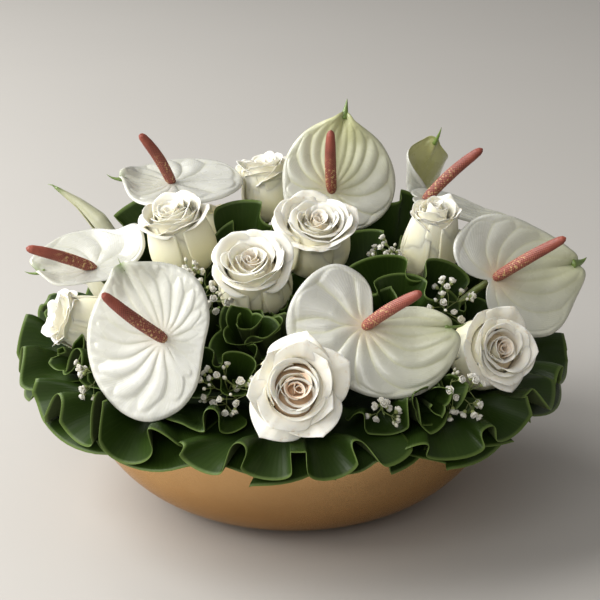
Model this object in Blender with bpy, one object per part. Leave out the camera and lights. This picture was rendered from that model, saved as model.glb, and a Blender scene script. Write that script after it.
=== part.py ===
"""Floral table centerpiece in a low metal bowl: white anthuriums, roses, baby's breath and ruffled leaves.

Sizes are in millimetres and are turned into metres where a mesh is made. The origin is the centre of the
bowl's foot on the table, +Z is up and the front of the arrangement faces -Y.
"""

import math

import bmesh
import bpy
import numpy as np

MM = 0.001
GAP = 0.3
SHARP_ANGLE = 50.0

# Bowl and the block of floral foam inside it
BOWL_FOOT_R = 60.0
BOWL_RIM_R = 155.0
BOWL_HEIGHT = 100.0
BOWL_WALL = 3.0
BOWL_SIDES = 40
BOWL_STEPS = 5
FOAM_CLEAR = 2.5
FOAM_SHOULDER = (148.0, 96.0)
FOAM_TOP = 120.0
FOAM_EDGE = 8.0
FOAM_SIDES = 24
HOLE_SIDES = 5
HOLE_CLEAR = 0.9

# Flower parts
SPATHE_THICK = 1.0
SPATHE_EYE_R = 5.0
SPATHE_SECTORS = 20
SPATHE_RINGS = (0.34, 0.68, 1.0)
SPATHE_RIB = 1.3
RIB_TURN = 18.0
RIB_FULL_R = 30.0
SPADIX_R = 4.0
SPADIX_SIDES = 9
STEM_R = 2.6
STEM_SIDES = 6
STEM_STEPS = 5
STEM_FOOT_Z = 84.0
ROSE_SIDES = 15
ROSE_STEM_R = 2.8
ROSE_STEM_STEPS = 3
ROSE_GUARD_ROW = 3
ROSE_CORE_R = 2.4
PETAL_NOTCH = 0.14
PETAL_DIP = 0.16
LEAF_THICK = 0.8
LEAF_ROOT_R = 3.0
LEAF_ROOT_THICK = 1.4
LEAF_STEM = 24.0
STALK_LEAN = 0.006
FLORET_R = 2.9
TWIG_R = 0.5
TWIG_SIDES = 4
STALK_STEPS = 4

# Colours: base colour, roughness, metallic
FINISHES = {
    "brass": ((0.62, 0.40, 0.19), 0.38, 1.0),
    "foam": ((0.10, 0.22, 0.09), 0.95, 0.0),
    "spathe": ((0.90, 0.90, 0.82), 0.30, 0.0),
    "spadix": ((0.47, 0.13, 0.09), 0.55, 0.0),
    "stem": ((0.16, 0.30, 0.08), 0.50, 0.0),
    "petal": ((0.92, 0.90, 0.83), 0.55, 0.0),
    "leaf": ((0.05, 0.13, 0.03), 0.35, 0.0),
    "floret": ((0.86, 0.84, 0.80), 0.70, 0.0),
}


def vec(*values):
    return np.array(values, float)


def unit(v):
    v = np.asarray(v, float)
    return v / np.linalg.norm(v)


def facing_frame(normal, along):
    """Columns: the in-plane direction nearest to along, the one a quarter turn left of it, and the normal."""
    z = unit(normal)
    x = unit(np.asarray(along, float) - np.dot(along, z) * z)
    return np.column_stack([x, np.cross(z, x), z])


def heading_frame(heading, normal):
    """Columns: the heading, the direction a quarter turn left of it, and the normal squared up to both."""
    x = unit(heading)
    z = unit(np.asarray(normal, float) - np.dot(normal, x) * x)
    return np.column_stack([x, np.cross(z, x), z])


def add_solid(name, points, faces, finish):
    """A named mesh object from points in millimetres."""
    mesh = bpy.data.meshes.new(name)
    mesh.from_pydata([tuple(p) for p in np.asarray(points) * MM], [], faces)
    mesh.validate()
    mesh.shade_smooth()
    mesh.set_sharp_from_angle(angle=math.radians(SHARP_ANGLE))
    obj = bpy.data.objects.new(name, mesh)
    bpy.context.scene.collection.objects.link(obj)
    obj.data.materials.append(MATERIALS[finish])
    return obj


def sweep(rings):
    """Points and faces of a closed tube through rings of equal counts, listed so that the skin faces out."""
    count = len(rings[0])
    points = np.concatenate(rings)
    faces = [list(range(count))[::-1]]
    for k in range(len(rings) - 1):
        low, high = k * count, (k + 1) * count
        for i in range(count):
            j = (i + 1) % count
            faces.append([low + i, low + j, high + j, high + i])
    last = (len(rings) - 1) * count
    faces.append(list(range(last, last + count)))
    return points, faces


def tube_rings(path, radii, sides, side_axis=None):
    """Rings square to a path, carried along it without twist."""
    path = [np.asarray(p, float) for p in path]
    tangents = [unit(path[min(i + 1, len(path) - 1)] - path[max(i - 1, 0)]) for i in range(len(path))]
    guess = vec(0, 0, 1) if abs(tangents[0][2]) < 0.9 else vec(1, 0, 0)
    across = np.cross(guess, tangents[0]) if side_axis is None else np.asarray(side_axis, float)
    rings = []
    for point, tangent, radius in zip(path, tangents, radii):
        across = unit(across - np.dot(across, tangent) * tangent)
        up = np.cross(tangent, across)
        turns = np.arange(sides) * 2 * math.pi / sides
        rings.append([point + radius * (math.cos(a) * across + math.sin(a) * up) for a in turns])
    return rings


def bezier(p0, p1, p2, p3, steps):
    """Points along a cubic curve, its ends included."""
    out = []
    for t in np.linspace(0, 1, steps + 1):
        s = 1 - t
        out.append(s**3 * p0 + 3 * s * s * t * p1 + 3 * s * t * t * p2 + t**3 * p3)
    return out


def lathe(profile, sides):
    """Points and faces of a closed turned solid from (radius, height) pairs, which start at the underside and
    run up the outside. The first and the last ring are filled."""
    turns = np.arange(sides) * 2 * math.pi / sides
    rings = [[vec(r * math.cos(a), r * math.sin(a), z) for a in turns] for r, z in profile]
    return sweep(rings)


def bend(points, heading_deg, start, curl):
    """Rolls what lies beyond start along a heading of the flat piece. A positive curl lifts it to the face
    side."""
    heading = vec(math.cos(math.radians(heading_deg)), math.sin(math.radians(heading_deg)), 0)
    out = np.array(points, float)
    along = out @ heading - start
    turned = along > 0
    s, z = along[turned], out[turned, 2]
    angle = curl * s
    moved = np.sin(angle) / curl - z * np.sin(angle)
    out[turned] += np.outer(moved - s, heading)
    out[turned, 2] = (1 - np.cos(angle)) / curl + z * np.cos(angle)
    return out


def outline_radius(outline, degrees):
    """Smooth closed outline through (angle, radius) pairs that go round once, counted from the tip."""
    angles = np.array([a for a, _ in outline], float)
    radii = np.array([r for _, r in outline], float)
    angles = np.concatenate([angles[-2:] - 360, angles, angles[:2] + 360])
    radii = np.concatenate([radii[-2:], radii, radii[:2]])
    degrees = degrees % 360
    k = int(np.searchsorted(angles, degrees, side="right")) - 1
    k = min(max(k, 1), len(angles) - 3)
    span = angles[k + 1] - angles[k]
    t = (degrees - angles[k]) / span
    slope0 = (radii[k + 1] - radii[k - 1]) / (angles[k + 1] - angles[k - 1]) * span
    slope1 = (radii[k + 2] - radii[k]) / (angles[k + 2] - angles[k]) * span
    steep = 3 * abs(radii[k + 1] - radii[k])
    slope0, slope1 = (max(-steep, min(steep, s)) for s in (slope0, slope1))
    return (
        (2 * t**3 - 3 * t**2 + 1) * radii[k]
        + (t**3 - 2 * t**2 + t) * slope0
        + (3 * t**2 - 2 * t**3) * radii[k + 1]
        + (t**3 - t**2) * slope1
    )


def sheet_faces(rows, columns, wrap, hub):
    """Quads of a grid of points, rows from the root outwards, and the fan that closes it round a hub."""
    quads = []
    for r in range(rows - 1):
        for c in range(columns if wrap else columns - 1):
            d = (c + 1) % columns
            quads.append((r * columns + c, (r + 1) * columns + c, (r + 1) * columns + d, r * columns + d))
    fans = [(rows * columns, c, (c + 1) % columns) for c in range(columns)] if hub else []
    return quads, fans


def sheet_normals(points, faces):
    normals = np.zeros_like(points)
    for face in faces:
        a, b, c = (points[face[i]] for i in (0, 1, 2))
        n = np.cross(b - a, c - a)
        if len(face) == 4:
            n = n + np.cross(c - a, points[face[3]] - a)
        for v in face:
            normals[v] += n
    return normals / np.linalg.norm(normals, axis=1)[:, None]


def sheet_solid(grid, thickness, wrap, eye=None, base_normals=None):
    """Closed thin solid round a grid of points, rows from the root outwards. With wrap the rows are rings
    round the point eye. Thickness is one number for each row. base_normals replace the first rows' own."""
    grid = np.asarray(grid, float)
    rows, columns = grid.shape[:2]
    middle = grid.reshape(-1, 3)
    half = np.repeat(np.asarray(thickness, float) / 2, columns)
    if eye is not None:
        middle = np.vstack([middle, eye])
        half = np.append(half, thickness[0] / 2)
    quads, fans = sheet_faces(rows, columns, wrap, eye is not None)
    normals = sheet_normals(middle, quads + fans)
    if base_normals is not None:
        normals[:len(base_normals)] = base_normals
    count = len(middle)
    points = np.vstack([middle + normals * half[:, None], middle - normals * half[:, None]])
    faces = []
    for a, b, c, d in quads:
        faces += [(a, b, c), (a, c, d)]
        faces += [(count + c, count + b, count + a), (count + d, count + c, count + a)]
    for a, b, c in fans:
        faces += [(a, b, c), (count + c, count + b, count + a)]
    rim = [(rows - 1) * columns + c for c in range(columns)]
    if wrap:
        loop = rim + rim[:1]
    else:
        left = [r * columns for r in range(rows)]
        right = [r * columns + columns - 1 for r in range(rows)]
        loop = left + rim[1:] + right[::-1][1:] + list(range(columns))[::-1][1:]
    for v, w in zip(loop, loop[1:]):
        faces += [(v, count + v, w), (w, count + v, count + w)]
    return points, faces


# Bowl and foam


def bowl_radius(foot, rim, z):
    """Radius of the bowl's rounded side at a height, from the foot's radius to the rim's."""
    share = min(max(z / BOWL_HEIGHT, 0.0), 1.0)
    return foot + (rim - foot) * math.sqrt(1 - (1 - share) ** 2)


def side_heights(low, high, steps):
    """Heights that lie closer together near the foot, where the side turns fastest."""
    return [low + (high - low) * (k / steps) ** 2 for k in range(steps + 1)]


def build_bowl():
    outer = [(bowl_radius(BOWL_FOOT_R, BOWL_RIM_R, z), z) for z in side_heights(0, BOWL_HEIGHT, BOWL_STEPS)]
    inner_foot, inner_rim = BOWL_FOOT_R - BOWL_WALL, BOWL_RIM_R - BOWL_WALL
    inner = [
        (bowl_radius(inner_foot, inner_rim, z), z + BOWL_WALL)
        for z in side_heights(0, BOWL_HEIGHT - BOWL_WALL, BOWL_STEPS)
    ]
    lip = [((BOWL_RIM_R + inner_rim) / 2, BOWL_HEIGHT + BOWL_WALL / 3)]
    points, faces = lathe(outer + lip + inner[::-1], BOWL_SIDES)
    return add_solid("bowl", points, faces, "brass")


def foam_top(x, y):
    """Height of the foam's domed top above a place on the plan."""
    share = (x * x + y * y) / FOAM_SHOULDER[0] ** 2
    return FOAM_TOP - (FOAM_TOP - FOAM_SHOULDER[1]) * share


def build_foam(stems):
    """The soaked block, cut to the bowl, with a plain hole for every stem."""
    inner_foot, inner_rim = BOWL_FOOT_R - BOWL_WALL, BOWL_RIM_R - BOWL_WALL
    side = [
        (bowl_radius(inner_foot, inner_rim, z - GAP) - FOAM_CLEAR, z + BOWL_WALL)
        for z in side_heights(GAP, FOAM_SHOULDER[1] - FOAM_EDGE - BOWL_WALL, BOWL_STEPS)
    ]
    dome = [(r, foam_top(r, 0)) for r in (FOAM_SHOULDER[0], 120.0, 80.0, 40.0, 10.0)]
    points, faces = lathe(side + dome, FOAM_SIDES)
    foam = add_solid("floral_foam", points, faces, "foam")
    cutters = bpy.data.collections.new("stem_holes")
    cutters.hide_render = True
    bpy.context.scene.collection.children.link(cutters)
    for k, (path, radius) in enumerate(stems):
        path = path[:-1] + [path[-1] + unit(path[-1] - path[-2]) * GAP]
        rings = tube_rings(path, [radius + HOLE_CLEAR] * len(path), HOLE_SIDES)
        hole = add_solid(f"hole_{k}", *sweep(rings), "foam")
        bpy.context.scene.collection.objects.unlink(hole)
        cutters.objects.link(hole)
        hole.hide_render = True
        hole.display_type = "WIRE"
    cut = foam.modifiers.new("stem holes", "BOOLEAN")
    cut.operation = "DIFFERENCE"
    cut.operand_type = "COLLECTION"
    cut.collection = cutters
    return foam


# Anthuriums

# name, eye, face normal, tip direction, outline (degrees from the tip, counter-clockwise from the face; mm),
# bends (heading, start, curl), spadix direction, spadix length, stem foot (x, y)
ANTHURIUMS = [
    dict(
        name="front_left", eye=(-83, -135, 165), normal=(-0.22, -0.86, 0.46), tip=(-0.49, 0.50, 0.71),
        outline=[(0, 62), (15, 54), (45, 52), (90, 53), (135, 55), (160, 49), (180, 41), (205, 31),
                 (235, 28), (270, 35), (300, 44), (345, 53)],
        bends=[(0, 25, 0.006), (100, 30, -0.007), (240, 18, -0.012)],
        spadix=(-36, -23, 39), length=57, foot=(-52, -80),
    ),
    dict(
        name="front_right", eye=(48, -118, 167), normal=(0.05, -0.85, 0.52), tip=(1.0, 0.04, -0.03),
        outline=[(0, 62), (14, 48), (28, 27), (40, 14), (58, 9), (72, 14), (84, 26), (100, 37), (118, 46),
                 (150, 50), (185, 52), (215, 46), (247, 42), (280, 48), (310, 57), (340, 62)],
        bends=[(0, 34, -0.008), (130, 22, 0.008), (218, 18, -0.014)],
        spadix=(34, -27, 33), length=54, foot=(38, -72),
    ),
    dict(
        name="right", eye=(142, -25, 168), normal=(0.25, -0.85, 0.46), tip=(0.95, 0.31, 0.06),
        outline=[(0, 68), (14, 58), (43, 47), (88, 45), (110, 42), (133, 38), (155, 28), (170, 16),
                 (185, 7), (205, 7), (225, 14), (243, 23), (262, 35), (285, 46), (305, 56), (335, 61)],
        bends=[(0, 36, -0.010), (90, 24, -0.006), (270, 26, 0.006)],
        spadix=(43, -25, 37), length=62, foot=(88, -16),
    ),
    dict(
        name="left", eye=(-142, 0, 166), normal=(-0.10, -0.27, 0.96), tip=(-1.0, 0.0, -0.1),
        outline=[(0, 44), (30, 34), (60, 23), (90, 18), (120, 20), (150, 26), (180, 30), (205, 42),
                 (228, 50), (250, 44), (275, 48), (305, 50), (335, 48)],
        bends=[(220, 18, 0.024), (90, 8, 0.020), (285, 26, 0.010)],
        spadix=(-44, -19, 21), length=52, foot=(-92, -2),
    ),
    dict(
        name="back_left", eye=(-90, 75, 207), normal=(-0.05, -0.16, 0.985), tip=(-1.0, 0.0, 0.05),
        outline=[(0, 44), (18, 39), (60, 38), (90, 38), (120, 42), (150, 49), (180, 53), (210, 50),
                 (240, 45), (270, 42), (300, 39), (342, 39)],
        bends=[(0, 14, 0.014), (180, 30, -0.006)],
        spadix=(-20, -22, 42), length=52, foot=(-62, 56),
    ),
    dict(
        name="back_centre", eye=(28, 60, 206), normal=(0.12, -0.90, 0.42), tip=(0.17, 0.44, 0.89),
        outline=[(0, 64), (12, 54), (40, 46), (65, 41), (95, 36), (130, 35), (160, 30), (185, 24),
                 (210, 32), (240, 39), (280, 48), (320, 51), (348, 54)],
        bends=[(0, 30, 0.006), (90, 20, -0.010), (270, 24, -0.010)],
        spadix=(-1, -9, 49), length=48, foot=(30, 62),
    ),
    dict(
        name="back_hood", eye=(92, 114, 187), normal=(-0.88, 0.10, 0.46), tip=(0.40, 0.05, 0.90),
        outline=[(0, 54), (14, 43), (45, 38), (90, 36), (130, 32), (160, 24), (180, 10), (200, 24),
                 (230, 34), (270, 42), (315, 44), (346, 46)],
        bends=[(90, 5, 0.034), (270, 5, 0.038)],
        spadix=(-10, 4, 32), length=30, foot=(59, 84),
    ),
    dict(
        name="back_right", eye=(97, 55, 200), normal=(0.28, 0.37, 0.88), tip=(0.93, -0.05, -0.30),
        outline=[(0, 72), (12, 60), (35, 46), (65, 34), (100, 26), (140, 20), (165, 14), (180, 8),
                 (195, 14), (230, 22), (270, 28), (305, 38), (348, 60)],
        bends=[(90, 12, 0.008), (270, 12, 0.008), (0, 40, -0.006)],
        spadix=(38, -5, 38), length=56, foot=(82, 46),
    ),
]


def spathe_angles(sector):
    """Where a rib line leaves the eye and where it meets the margin, in radians from the tip: ribs leave
    further back and curve towards the tip."""
    share = 2 * sector / SPATHE_SECTORS
    share = share - 2 if share > 1 else share
    start = math.copysign(abs(share) ** 0.7, share)
    return start * math.pi, share * math.pi


def spathe_grid(flower):
    """Rings of points of the flat ribbed shield, then rolled by its bends and set in place."""
    rings = []
    for k, reach in enumerate((0.0,) + SPATHE_RINGS):
        ring = []
        for sector in range(SPATHE_SECTORS):
            start, end = spathe_angles(sector)
            angle = end + (start - end) * (1 - reach) ** 1.5
            edge = outline_radius(flower["outline"], math.degrees(end))
            eye = min(SPATHE_EYE_R, 0.75 * edge)
            radius = eye + (edge - eye) * reach
            near = [math.degrees(end) + turn for turn in (-RIB_TURN, 0, RIB_TURN)]
            narrowest = min(outline_radius(flower["outline"], degrees) for degrees in near)
            fade = min(1.0, (narrowest / RIB_FULL_R) ** 2)
            rib = SPATHE_RIB * fade * math.sin(math.pi * min(1.0, reach * 1.1))
            height = rib if sector % 2 else 0.0
            ring.append(vec(radius * math.cos(angle), radius * math.sin(angle), height))
        rings.append(ring)
    points = np.array(rings).reshape(-1, 3)
    for heading, start, curl in flower["bends"]:
        points = bend(points, heading, start, curl)
    frame = facing_frame(flower["normal"], flower["tip"])
    points = points @ frame.T + vec(*flower["eye"])
    return points.reshape(len(rings), SPATHE_SECTORS, 3)


def build_anthurium(flower):
    """A shield, the spike that leans out of its eye, and the stem behind it. It returns the stem's path."""
    name = flower["name"]
    eye, normal = vec(*flower["eye"]), unit(flower["normal"])
    grid = spathe_grid(flower)
    points, faces = sheet_solid(grid, [SPATHE_THICK] * len(grid), True, eye)
    add_solid(f"spathe_{name}", points, faces, "spathe")

    lean = unit(flower["spadix"])
    across = unit(np.cross(normal, lean))
    foot = eye + normal * (SPATHE_THICK / 2 + GAP)
    turns = np.arange(SPADIX_SIDES) * 2 * math.pi / SPADIX_SIDES
    rings = []
    for share, size in ((0.0, 0.9), (0.12, 1.0), (0.45, 1.04), (0.78, 0.92), (0.94, 0.72), (1.0, 0.3)):
        axis = unit(normal + (lean - normal) * min(1.0, share / 0.12))
        up = np.cross(axis, across)
        centre = foot + lean * (flower["length"] * share)
        r = SPADIX_R * size
        rings.append([centre + r * (math.cos(a) * across + math.sin(a) * up) for a in turns])
    add_solid(f"spadix_{name}", *sweep(rings), "spadix")

    top = eye - normal * (SPATHE_THICK / 2 + GAP)
    x, y = flower["foot"]
    low = vec(x, y, STEM_FOOT_Z)
    back = unit(-(normal + lean))
    path = bezier(top, top + back * 26, vec(x, y, foam_top(x, y) + 16), low, STEM_STEPS)
    stem = tube_rings(path, [STEM_R] * len(path), STEM_SIDES, across)
    first = np.cross(normal, across)
    turns = np.arange(STEM_SIDES) * 2 * math.pi / STEM_SIDES
    stem[0] = [top + STEM_R * (math.cos(a) * across - math.sin(a) * first) for a in turns]
    add_solid(f"stem_{name}", *sweep(stem), "stem")
    return path[2:], STEM_R


# Rolled young anthurium: tip, thickest point, neck, stem foot
BUD_PATH = [(-174, 60, 214), (-157, 58, 199), (-143, 56, 184), (-131, 53, 168), (-113, 43, 138),
            (-101, 32, 112), (-98, 30, 84)]
BUD_RADII = [0.8, 5.5, 8.5, 6.0, 2.6, 2.5, 2.5]


def build_bud():
    rings = tube_rings(BUD_PATH, BUD_RADII, 8)
    add_solid("spathe_rolled_bud", *sweep(rings), "spathe")
    return [vec(*p) for p in BUD_PATH[4:]], BUD_RADII[-1]


# Roses: name, centre of the open face, axis out of the face, radius, height, how far it has opened, spin,
# stem foot (x, y)
ROSES = [
    ("front", (3, -176, 147), (0.02, -0.88, 0.47), 33, 42, 1.0, 10, (2, -92)),
    ("centre_left", (-29, -60, 194), (-0.10, -0.50, 0.86), 32, 46, 0.9, 40, (-22, -34)),
    ("centre", (17, -5, 205), (0.05, -0.45, 0.89), 31, 46, 0.9, 70, (12, 16)),
    ("upper_left", (-87, 5, 209), (-0.25, -0.20, 0.95), 29, 52, 0.6, 20, (-66, 24)),
    ("back", (-23, 96, 217), (-0.20, -0.10, 0.97), 26, 46, 0.6, 0, (-16, 84)),
    ("upper_right", (100, -2, 206), (0.10, -0.25, 0.96), 27, 52, 0.4, 30, (84, 16)),
    ("right", (140, -106, 147), (0.45, -0.75, 0.48), 29, 42, 0.9, 55, (86, -58)),
    ("left", (-163, -46, 147), (-0.93, -0.20, 0.32), 25, 40, 0.7, 15, (-96, -36)),
    ("left_back", (-148, 65, 147), (-0.75, 0.30, 0.60), 25, 40, 0.6, 35, (-92, 48)),
    ("behind_left", (-72, 134, 156), (-0.35, 0.78, 0.52), 31, 44, 0.8, 50, (-44, 84)),
    ("behind", (22, 150, 156), (0.08, 0.84, 0.54), 31, 44, 0.8, 5, (16, 96)),
    ("behind_right", (134, 90, 150), (0.72, 0.42, 0.55), 29, 42, 0.8, 25, (90, 62)),
]
# Height and radius as shares, petals in the whorl (0 where the row isn't a rim), from the calyx inwards
ROSE_ROWS = [
    (0.00, 0.17, 0),
    (0.14, 0.50, 0),
    (0.46, 0.74, 0),
    (0.78, 1.00, 5),
    (0.60, 0.70, 0),
    (0.93, 0.74, 5),
    (0.70, 0.50, 0),
    (1.00, 0.48, 3),
    (0.78, 0.28, 0),
    (1.01, 0.20, 3),
    (0.90, 0.07, 0),
]


def build_rose(name, face, axis, radius, height, opened, spin, foot):
    """Whorls of petals round one another, every whorl with its lobes between those of the last, on a stem
    that bends down into the foam. It returns the stem's path."""
    frame = facing_frame(axis, (0.3, 0.2, 1.0) if abs(axis[2]) < 0.9 else (1.0, 0.2, 0))
    down = -unit(axis)
    base = vec(*face) + down * height
    x, y = foot
    neck = base + down * 5
    above = vec(x, y, foam_top(x, y) + 12)
    path = bezier(neck, neck + down * 16, above, vec(x, y, STEM_FOOT_Z), ROSE_STEM_STEPS)
    spun = math.radians(spin)
    across = frame @ vec(math.cos(spun), math.sin(spun), 0)
    rings = tube_rings(path, [ROSE_STEM_R] * len(path), ROSE_SIDES, across)
    rings = [ring[:1] + ring[:0:-1] for ring in rings[::-1]]
    for row, (rise, reach, petals) in enumerate(ROSE_ROWS):
        if row == ROSE_GUARD_ROW:
            reach *= 0.72 + 0.28 * opened
        if row > ROSE_GUARD_ROW + 1:
            rise -= 0.05 * (1 - opened)
        ring = []
        for a in np.arange(ROSE_SIDES) * 2 * math.pi / ROSE_SIDES:
            notch = 1 - abs(math.cos(petals * (a - math.radians(18 * row)) / 2)) if petals else 0.0
            r = max(radius * reach * (1 - PETAL_NOTCH * notch), ROSE_CORE_R)
            z = height * (rise - PETAL_DIP * notch)
            ring.append(base + frame @ vec(r * math.cos(a + spun), r * math.sin(a + spun), z))
        rings.append(ring)
    add_solid(f"rose_{name}", *sweep(rings), "petal")
    return path, ROSE_STEM_R


# Ruffled leaves

# name, root, heading, face normal, length, spread in degrees, waves, phase in degrees, ruffle height, bends
COLLAR_ROOT = (119.0, 106.5)
COLLAR_REACH = 196.0
COLLAR_COUNT = 8
COLLAR_SPREAD = 106.0
COLLAR_WING = 46.0
COLLAR_FIRST = -90.0
COLLAR_RUFFLE = 10.0
COLLAR_WAVES = 4.0
COLLAR_SPACE = 0.8
LEAVES = [
    dict(name="centre_left", root=(-27, -72, 121), heading=(-0.12, -0.52, 0.84), normal=(0.0, -0.85, -0.5),
         length=52, spread=80, waves=2.0, phase=20, ruffle=9),
    dict(name="centre_right", root=(72, -48, 121), heading=(0.18, -0.15, 0.96), normal=(0.1, -0.98, -0.1),
         length=62, spread=84, waves=2.0, phase=100, ruffle=9),
    dict(name="front_right", root=(73, -77, 111), heading=(0.20, -0.97, 0.13), normal=(0, 0.13, 0.98),
         length=70, spread=66, waves=2.5, phase=0, ruffle=6),
    dict(name="left", root=(-112, 8, 116), heading=(-0.96, 0.0, 0.26), normal=(0.3, 0, 0.95),
         length=72, spread=34, waves=0.5, phase=0, ruffle=5),
    dict(name="back_centre", root=(-28, 38, 119), heading=(-0.05, 0.05, 0.99), normal=(0, -0.99, 0.1),
         length=74, spread=44, waves=0.75, phase=0, ruffle=6),
    dict(name="left_centre", root=(-88, -24, 118), heading=(-0.25, 0.1, 0.96), normal=(-0.2, -0.95, 0.1),
         length=54, spread=56, waves=1.0, phase=90, ruffle=6),
    dict(name="upper_left", root=(-76, 68, 112), heading=(-0.75, 0.35, 0.56), normal=(0.5, -0.1, 0.8),
         length=52, spread=50, waves=1.0, phase=0, ruffle=6),
    dict(name="upper_right", root=(58, 28, 120), heading=(0.15, 0.1, 0.98), normal=(0, -0.99, 0.1),
         length=62, spread=60, waves=1.0, phase=0, ruffle=6),
]
WAVE_STEPS = 4
SWAY = 0.03
LEAF_ROWS = (0.0, 0.5, 1.0)


def collar_leaves():
    """Eight broad leaves that radiate over the rim and share the circle between them."""
    out = []
    radius, height = COLLAR_ROOT
    for k in range(COLLAR_COUNT):
        a = math.radians(COLLAR_FIRST + 360 / COLLAR_COUNT * k)
        out.append(dict(
            name=f"collar_{k + 1}", root=(radius * math.cos(a), radius * math.sin(a), height),
            heading=(math.cos(a), math.sin(a), 0.0), normal=(0, 0, 1), length=COLLAR_REACH - radius,
            spread=COLLAR_SPREAD, wing=COLLAR_WING, waves=COLLAR_WAVES, phase=180, ruffle=COLLAR_RUFFLE,
            bends=[(0, 38, -0.010)], inset=radius,
        ))
    return out


def leaf_edge(leaf, angle):
    """How far a blade reaches from its root along an angle. A collar leaf ends on the collar's circle and
    just short of the rays that part it from its neighbours."""
    half = math.radians(leaf["spread"] / 2 + leaf.get("wing", 0))
    if "inset" not in leaf:
        return leaf["length"] * (1 - 0.12 * (angle / half) ** 6)
    inset = leaf["inset"]
    circle = inset + leaf["length"]
    reach = math.sqrt(circle**2 - (inset * math.sin(angle)) ** 2) - inset * math.cos(angle)
    beyond = abs(angle) - math.pi / COLLAR_COUNT
    if beyond > 0:
        ray = inset * math.sin(math.pi / COLLAR_COUNT) - COLLAR_SPACE
        reach = min(reach, ray / math.sin(beyond))
    return reach


def leaf_stations(leaf):
    """Angle and ruffle phase (degrees) and ruffle share of every column: waves over the spread, still wings
    beside it."""
    half = leaf["spread"] / 2
    steps = round(leaf["waves"] * WAVE_STEPS)
    out = []
    for i in range(steps + 1):
        s = i / steps
        phase = 360 * leaf["waves"] * s + leaf["phase"]
        sway = SWAY * math.sin(math.radians(2 * phase)) * min(1.0, 6 * s, 6 * (1 - s))
        out.append((half * (2 * s - 1 + sway), phase, min(1.0, 0.15 + 5 * s, 0.15 + 5 * (1 - s))))
    wing = leaf.get("wing", 0)
    if wing:
        before = [(-half - wing * share, 0.0, 0.0) for share in (1.0, 0.5)]
        after = [(half + wing * share, 0.0, 0.0) for share in (0.5, 1.0)]
        out = before + out + after
    return out


def leaf_grid(leaf):
    """Rows of points from the root to the ruffled margin."""
    stations = leaf_stations(leaf)
    rows = []
    for reach in LEAF_ROWS:
        row = []
        for degrees, phase, share in stations:
            angle = math.radians(degrees)
            radius = LEAF_ROOT_R + (leaf_edge(leaf, angle) - LEAF_ROOT_R) * reach
            height = leaf["ruffle"] * share * math.cos(math.radians(phase)) * reach**1.3
            row.append(vec(radius * math.cos(angle), radius * math.sin(angle), height))
        rows.append(row)
    points = np.array(rows).reshape(-1, 3)
    for heading, start, curl in leaf.get("bends", []):
        points = bend(points, heading, start, curl)
    frame = heading_frame(leaf["heading"], leaf["normal"])
    points = points @ frame.T + vec(*leaf["root"])
    return points.reshape(len(rows), len(stations), 3)


def build_leaf(leaf):
    """A thin ruffled blade that narrows into a short channelled stalk in the foam. It returns the stalk's
    path and the radius that holds it."""
    grid, inwards = with_stalk(leaf)
    rows, columns = grid.shape[:2]
    smooth = with_stalk(dict(leaf, ruffle=0))[0].reshape(-1, 3)
    base_normals = sheet_normals(smooth, sheet_faces(rows, columns, False, False)[0])[: 2 * columns]
    thickness = [LEAF_ROOT_THICK, LEAF_ROOT_THICK] + [LEAF_THICK] * (rows - 2)
    points, faces = sheet_solid(grid, thickness, False, base_normals=base_normals)
    add_solid(f"leaf_{leaf['name']}", points, faces, "leaf")
    middle = grid[0].mean(axis=0)
    offsets = grid[0] - middle
    depth = offsets @ inwards
    radius = np.linalg.norm(offsets - np.outer(depth, inwards), axis=1).max() + LEAF_ROOT_THICK / 2
    return [middle - inwards * (LEAF_STEM + 4), middle + inwards * depth.max()], radius


def with_stalk(leaf):
    """The blade's grid with a first row at the stalk's end, and the direction that the stalk goes down in."""
    grid = leaf_grid(leaf)
    x, y = leaf["root"][:2]
    inwards = unit((-STALK_LEAN * x, -STALK_LEAN * y, -1))
    return np.vstack([[grid[0] + inwards * LEAF_STEM], grid]), inwards


# Baby's breath

# name, root, clusters (centre, spread, florets), seed
SPRAYS = [
    ("centre_left", (-60, -50, 108), [((-62, -76, 178), 15, 12)], 3),
    ("front_left", (-38, -95, 106), [((-44, -150, 132), 15, 12), ((-136, -112, 132), 13, 8)], 5),
    ("back_left", (-46, 52, 108), [((-62, 48, 176), 10, 8)], 7),
    ("right", (84, -34, 108), [((62, -14, 186), 12, 10), ((112, -66, 170), 13, 8)], 11),
    ("front_right", (50, -87, 107), [((116, -138, 138), 13, 9), ((60, -166, 126), 8, 4)], 13),
]


def face_normal(face):
    face.normal_update()
    return np.array(face.normal)


def grow(face, mesh, path, radii):
    """Draws a face out along a path, ring by ring. It returns the last piece's side faces and its end."""
    sides = []
    for k, (point, radius) in enumerate(zip(path, radii)):
        start = np.array(face.calc_center_median())
        aim = unit(path[min(k + 1, len(path) - 1)] - (path[k - 1] if k else start))
        lead = np.array(face.verts[0].co) - start
        across = unit(lead - np.dot(lead, aim) * aim)
        up = np.cross(aim, across)
        face = bmesh.ops.extrude_discrete_faces(mesh, faces=[face])["faces"][0]
        for i, corner in enumerate(face.verts):
            turn = 2 * math.pi * i / len(face.verts)
            corner.co = point + radius * (math.cos(turn) * across + math.sin(turn) * up)
        sides = [f for edge in face.edges for f in edge.link_faces if f is not face]
    return sides, face


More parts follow.
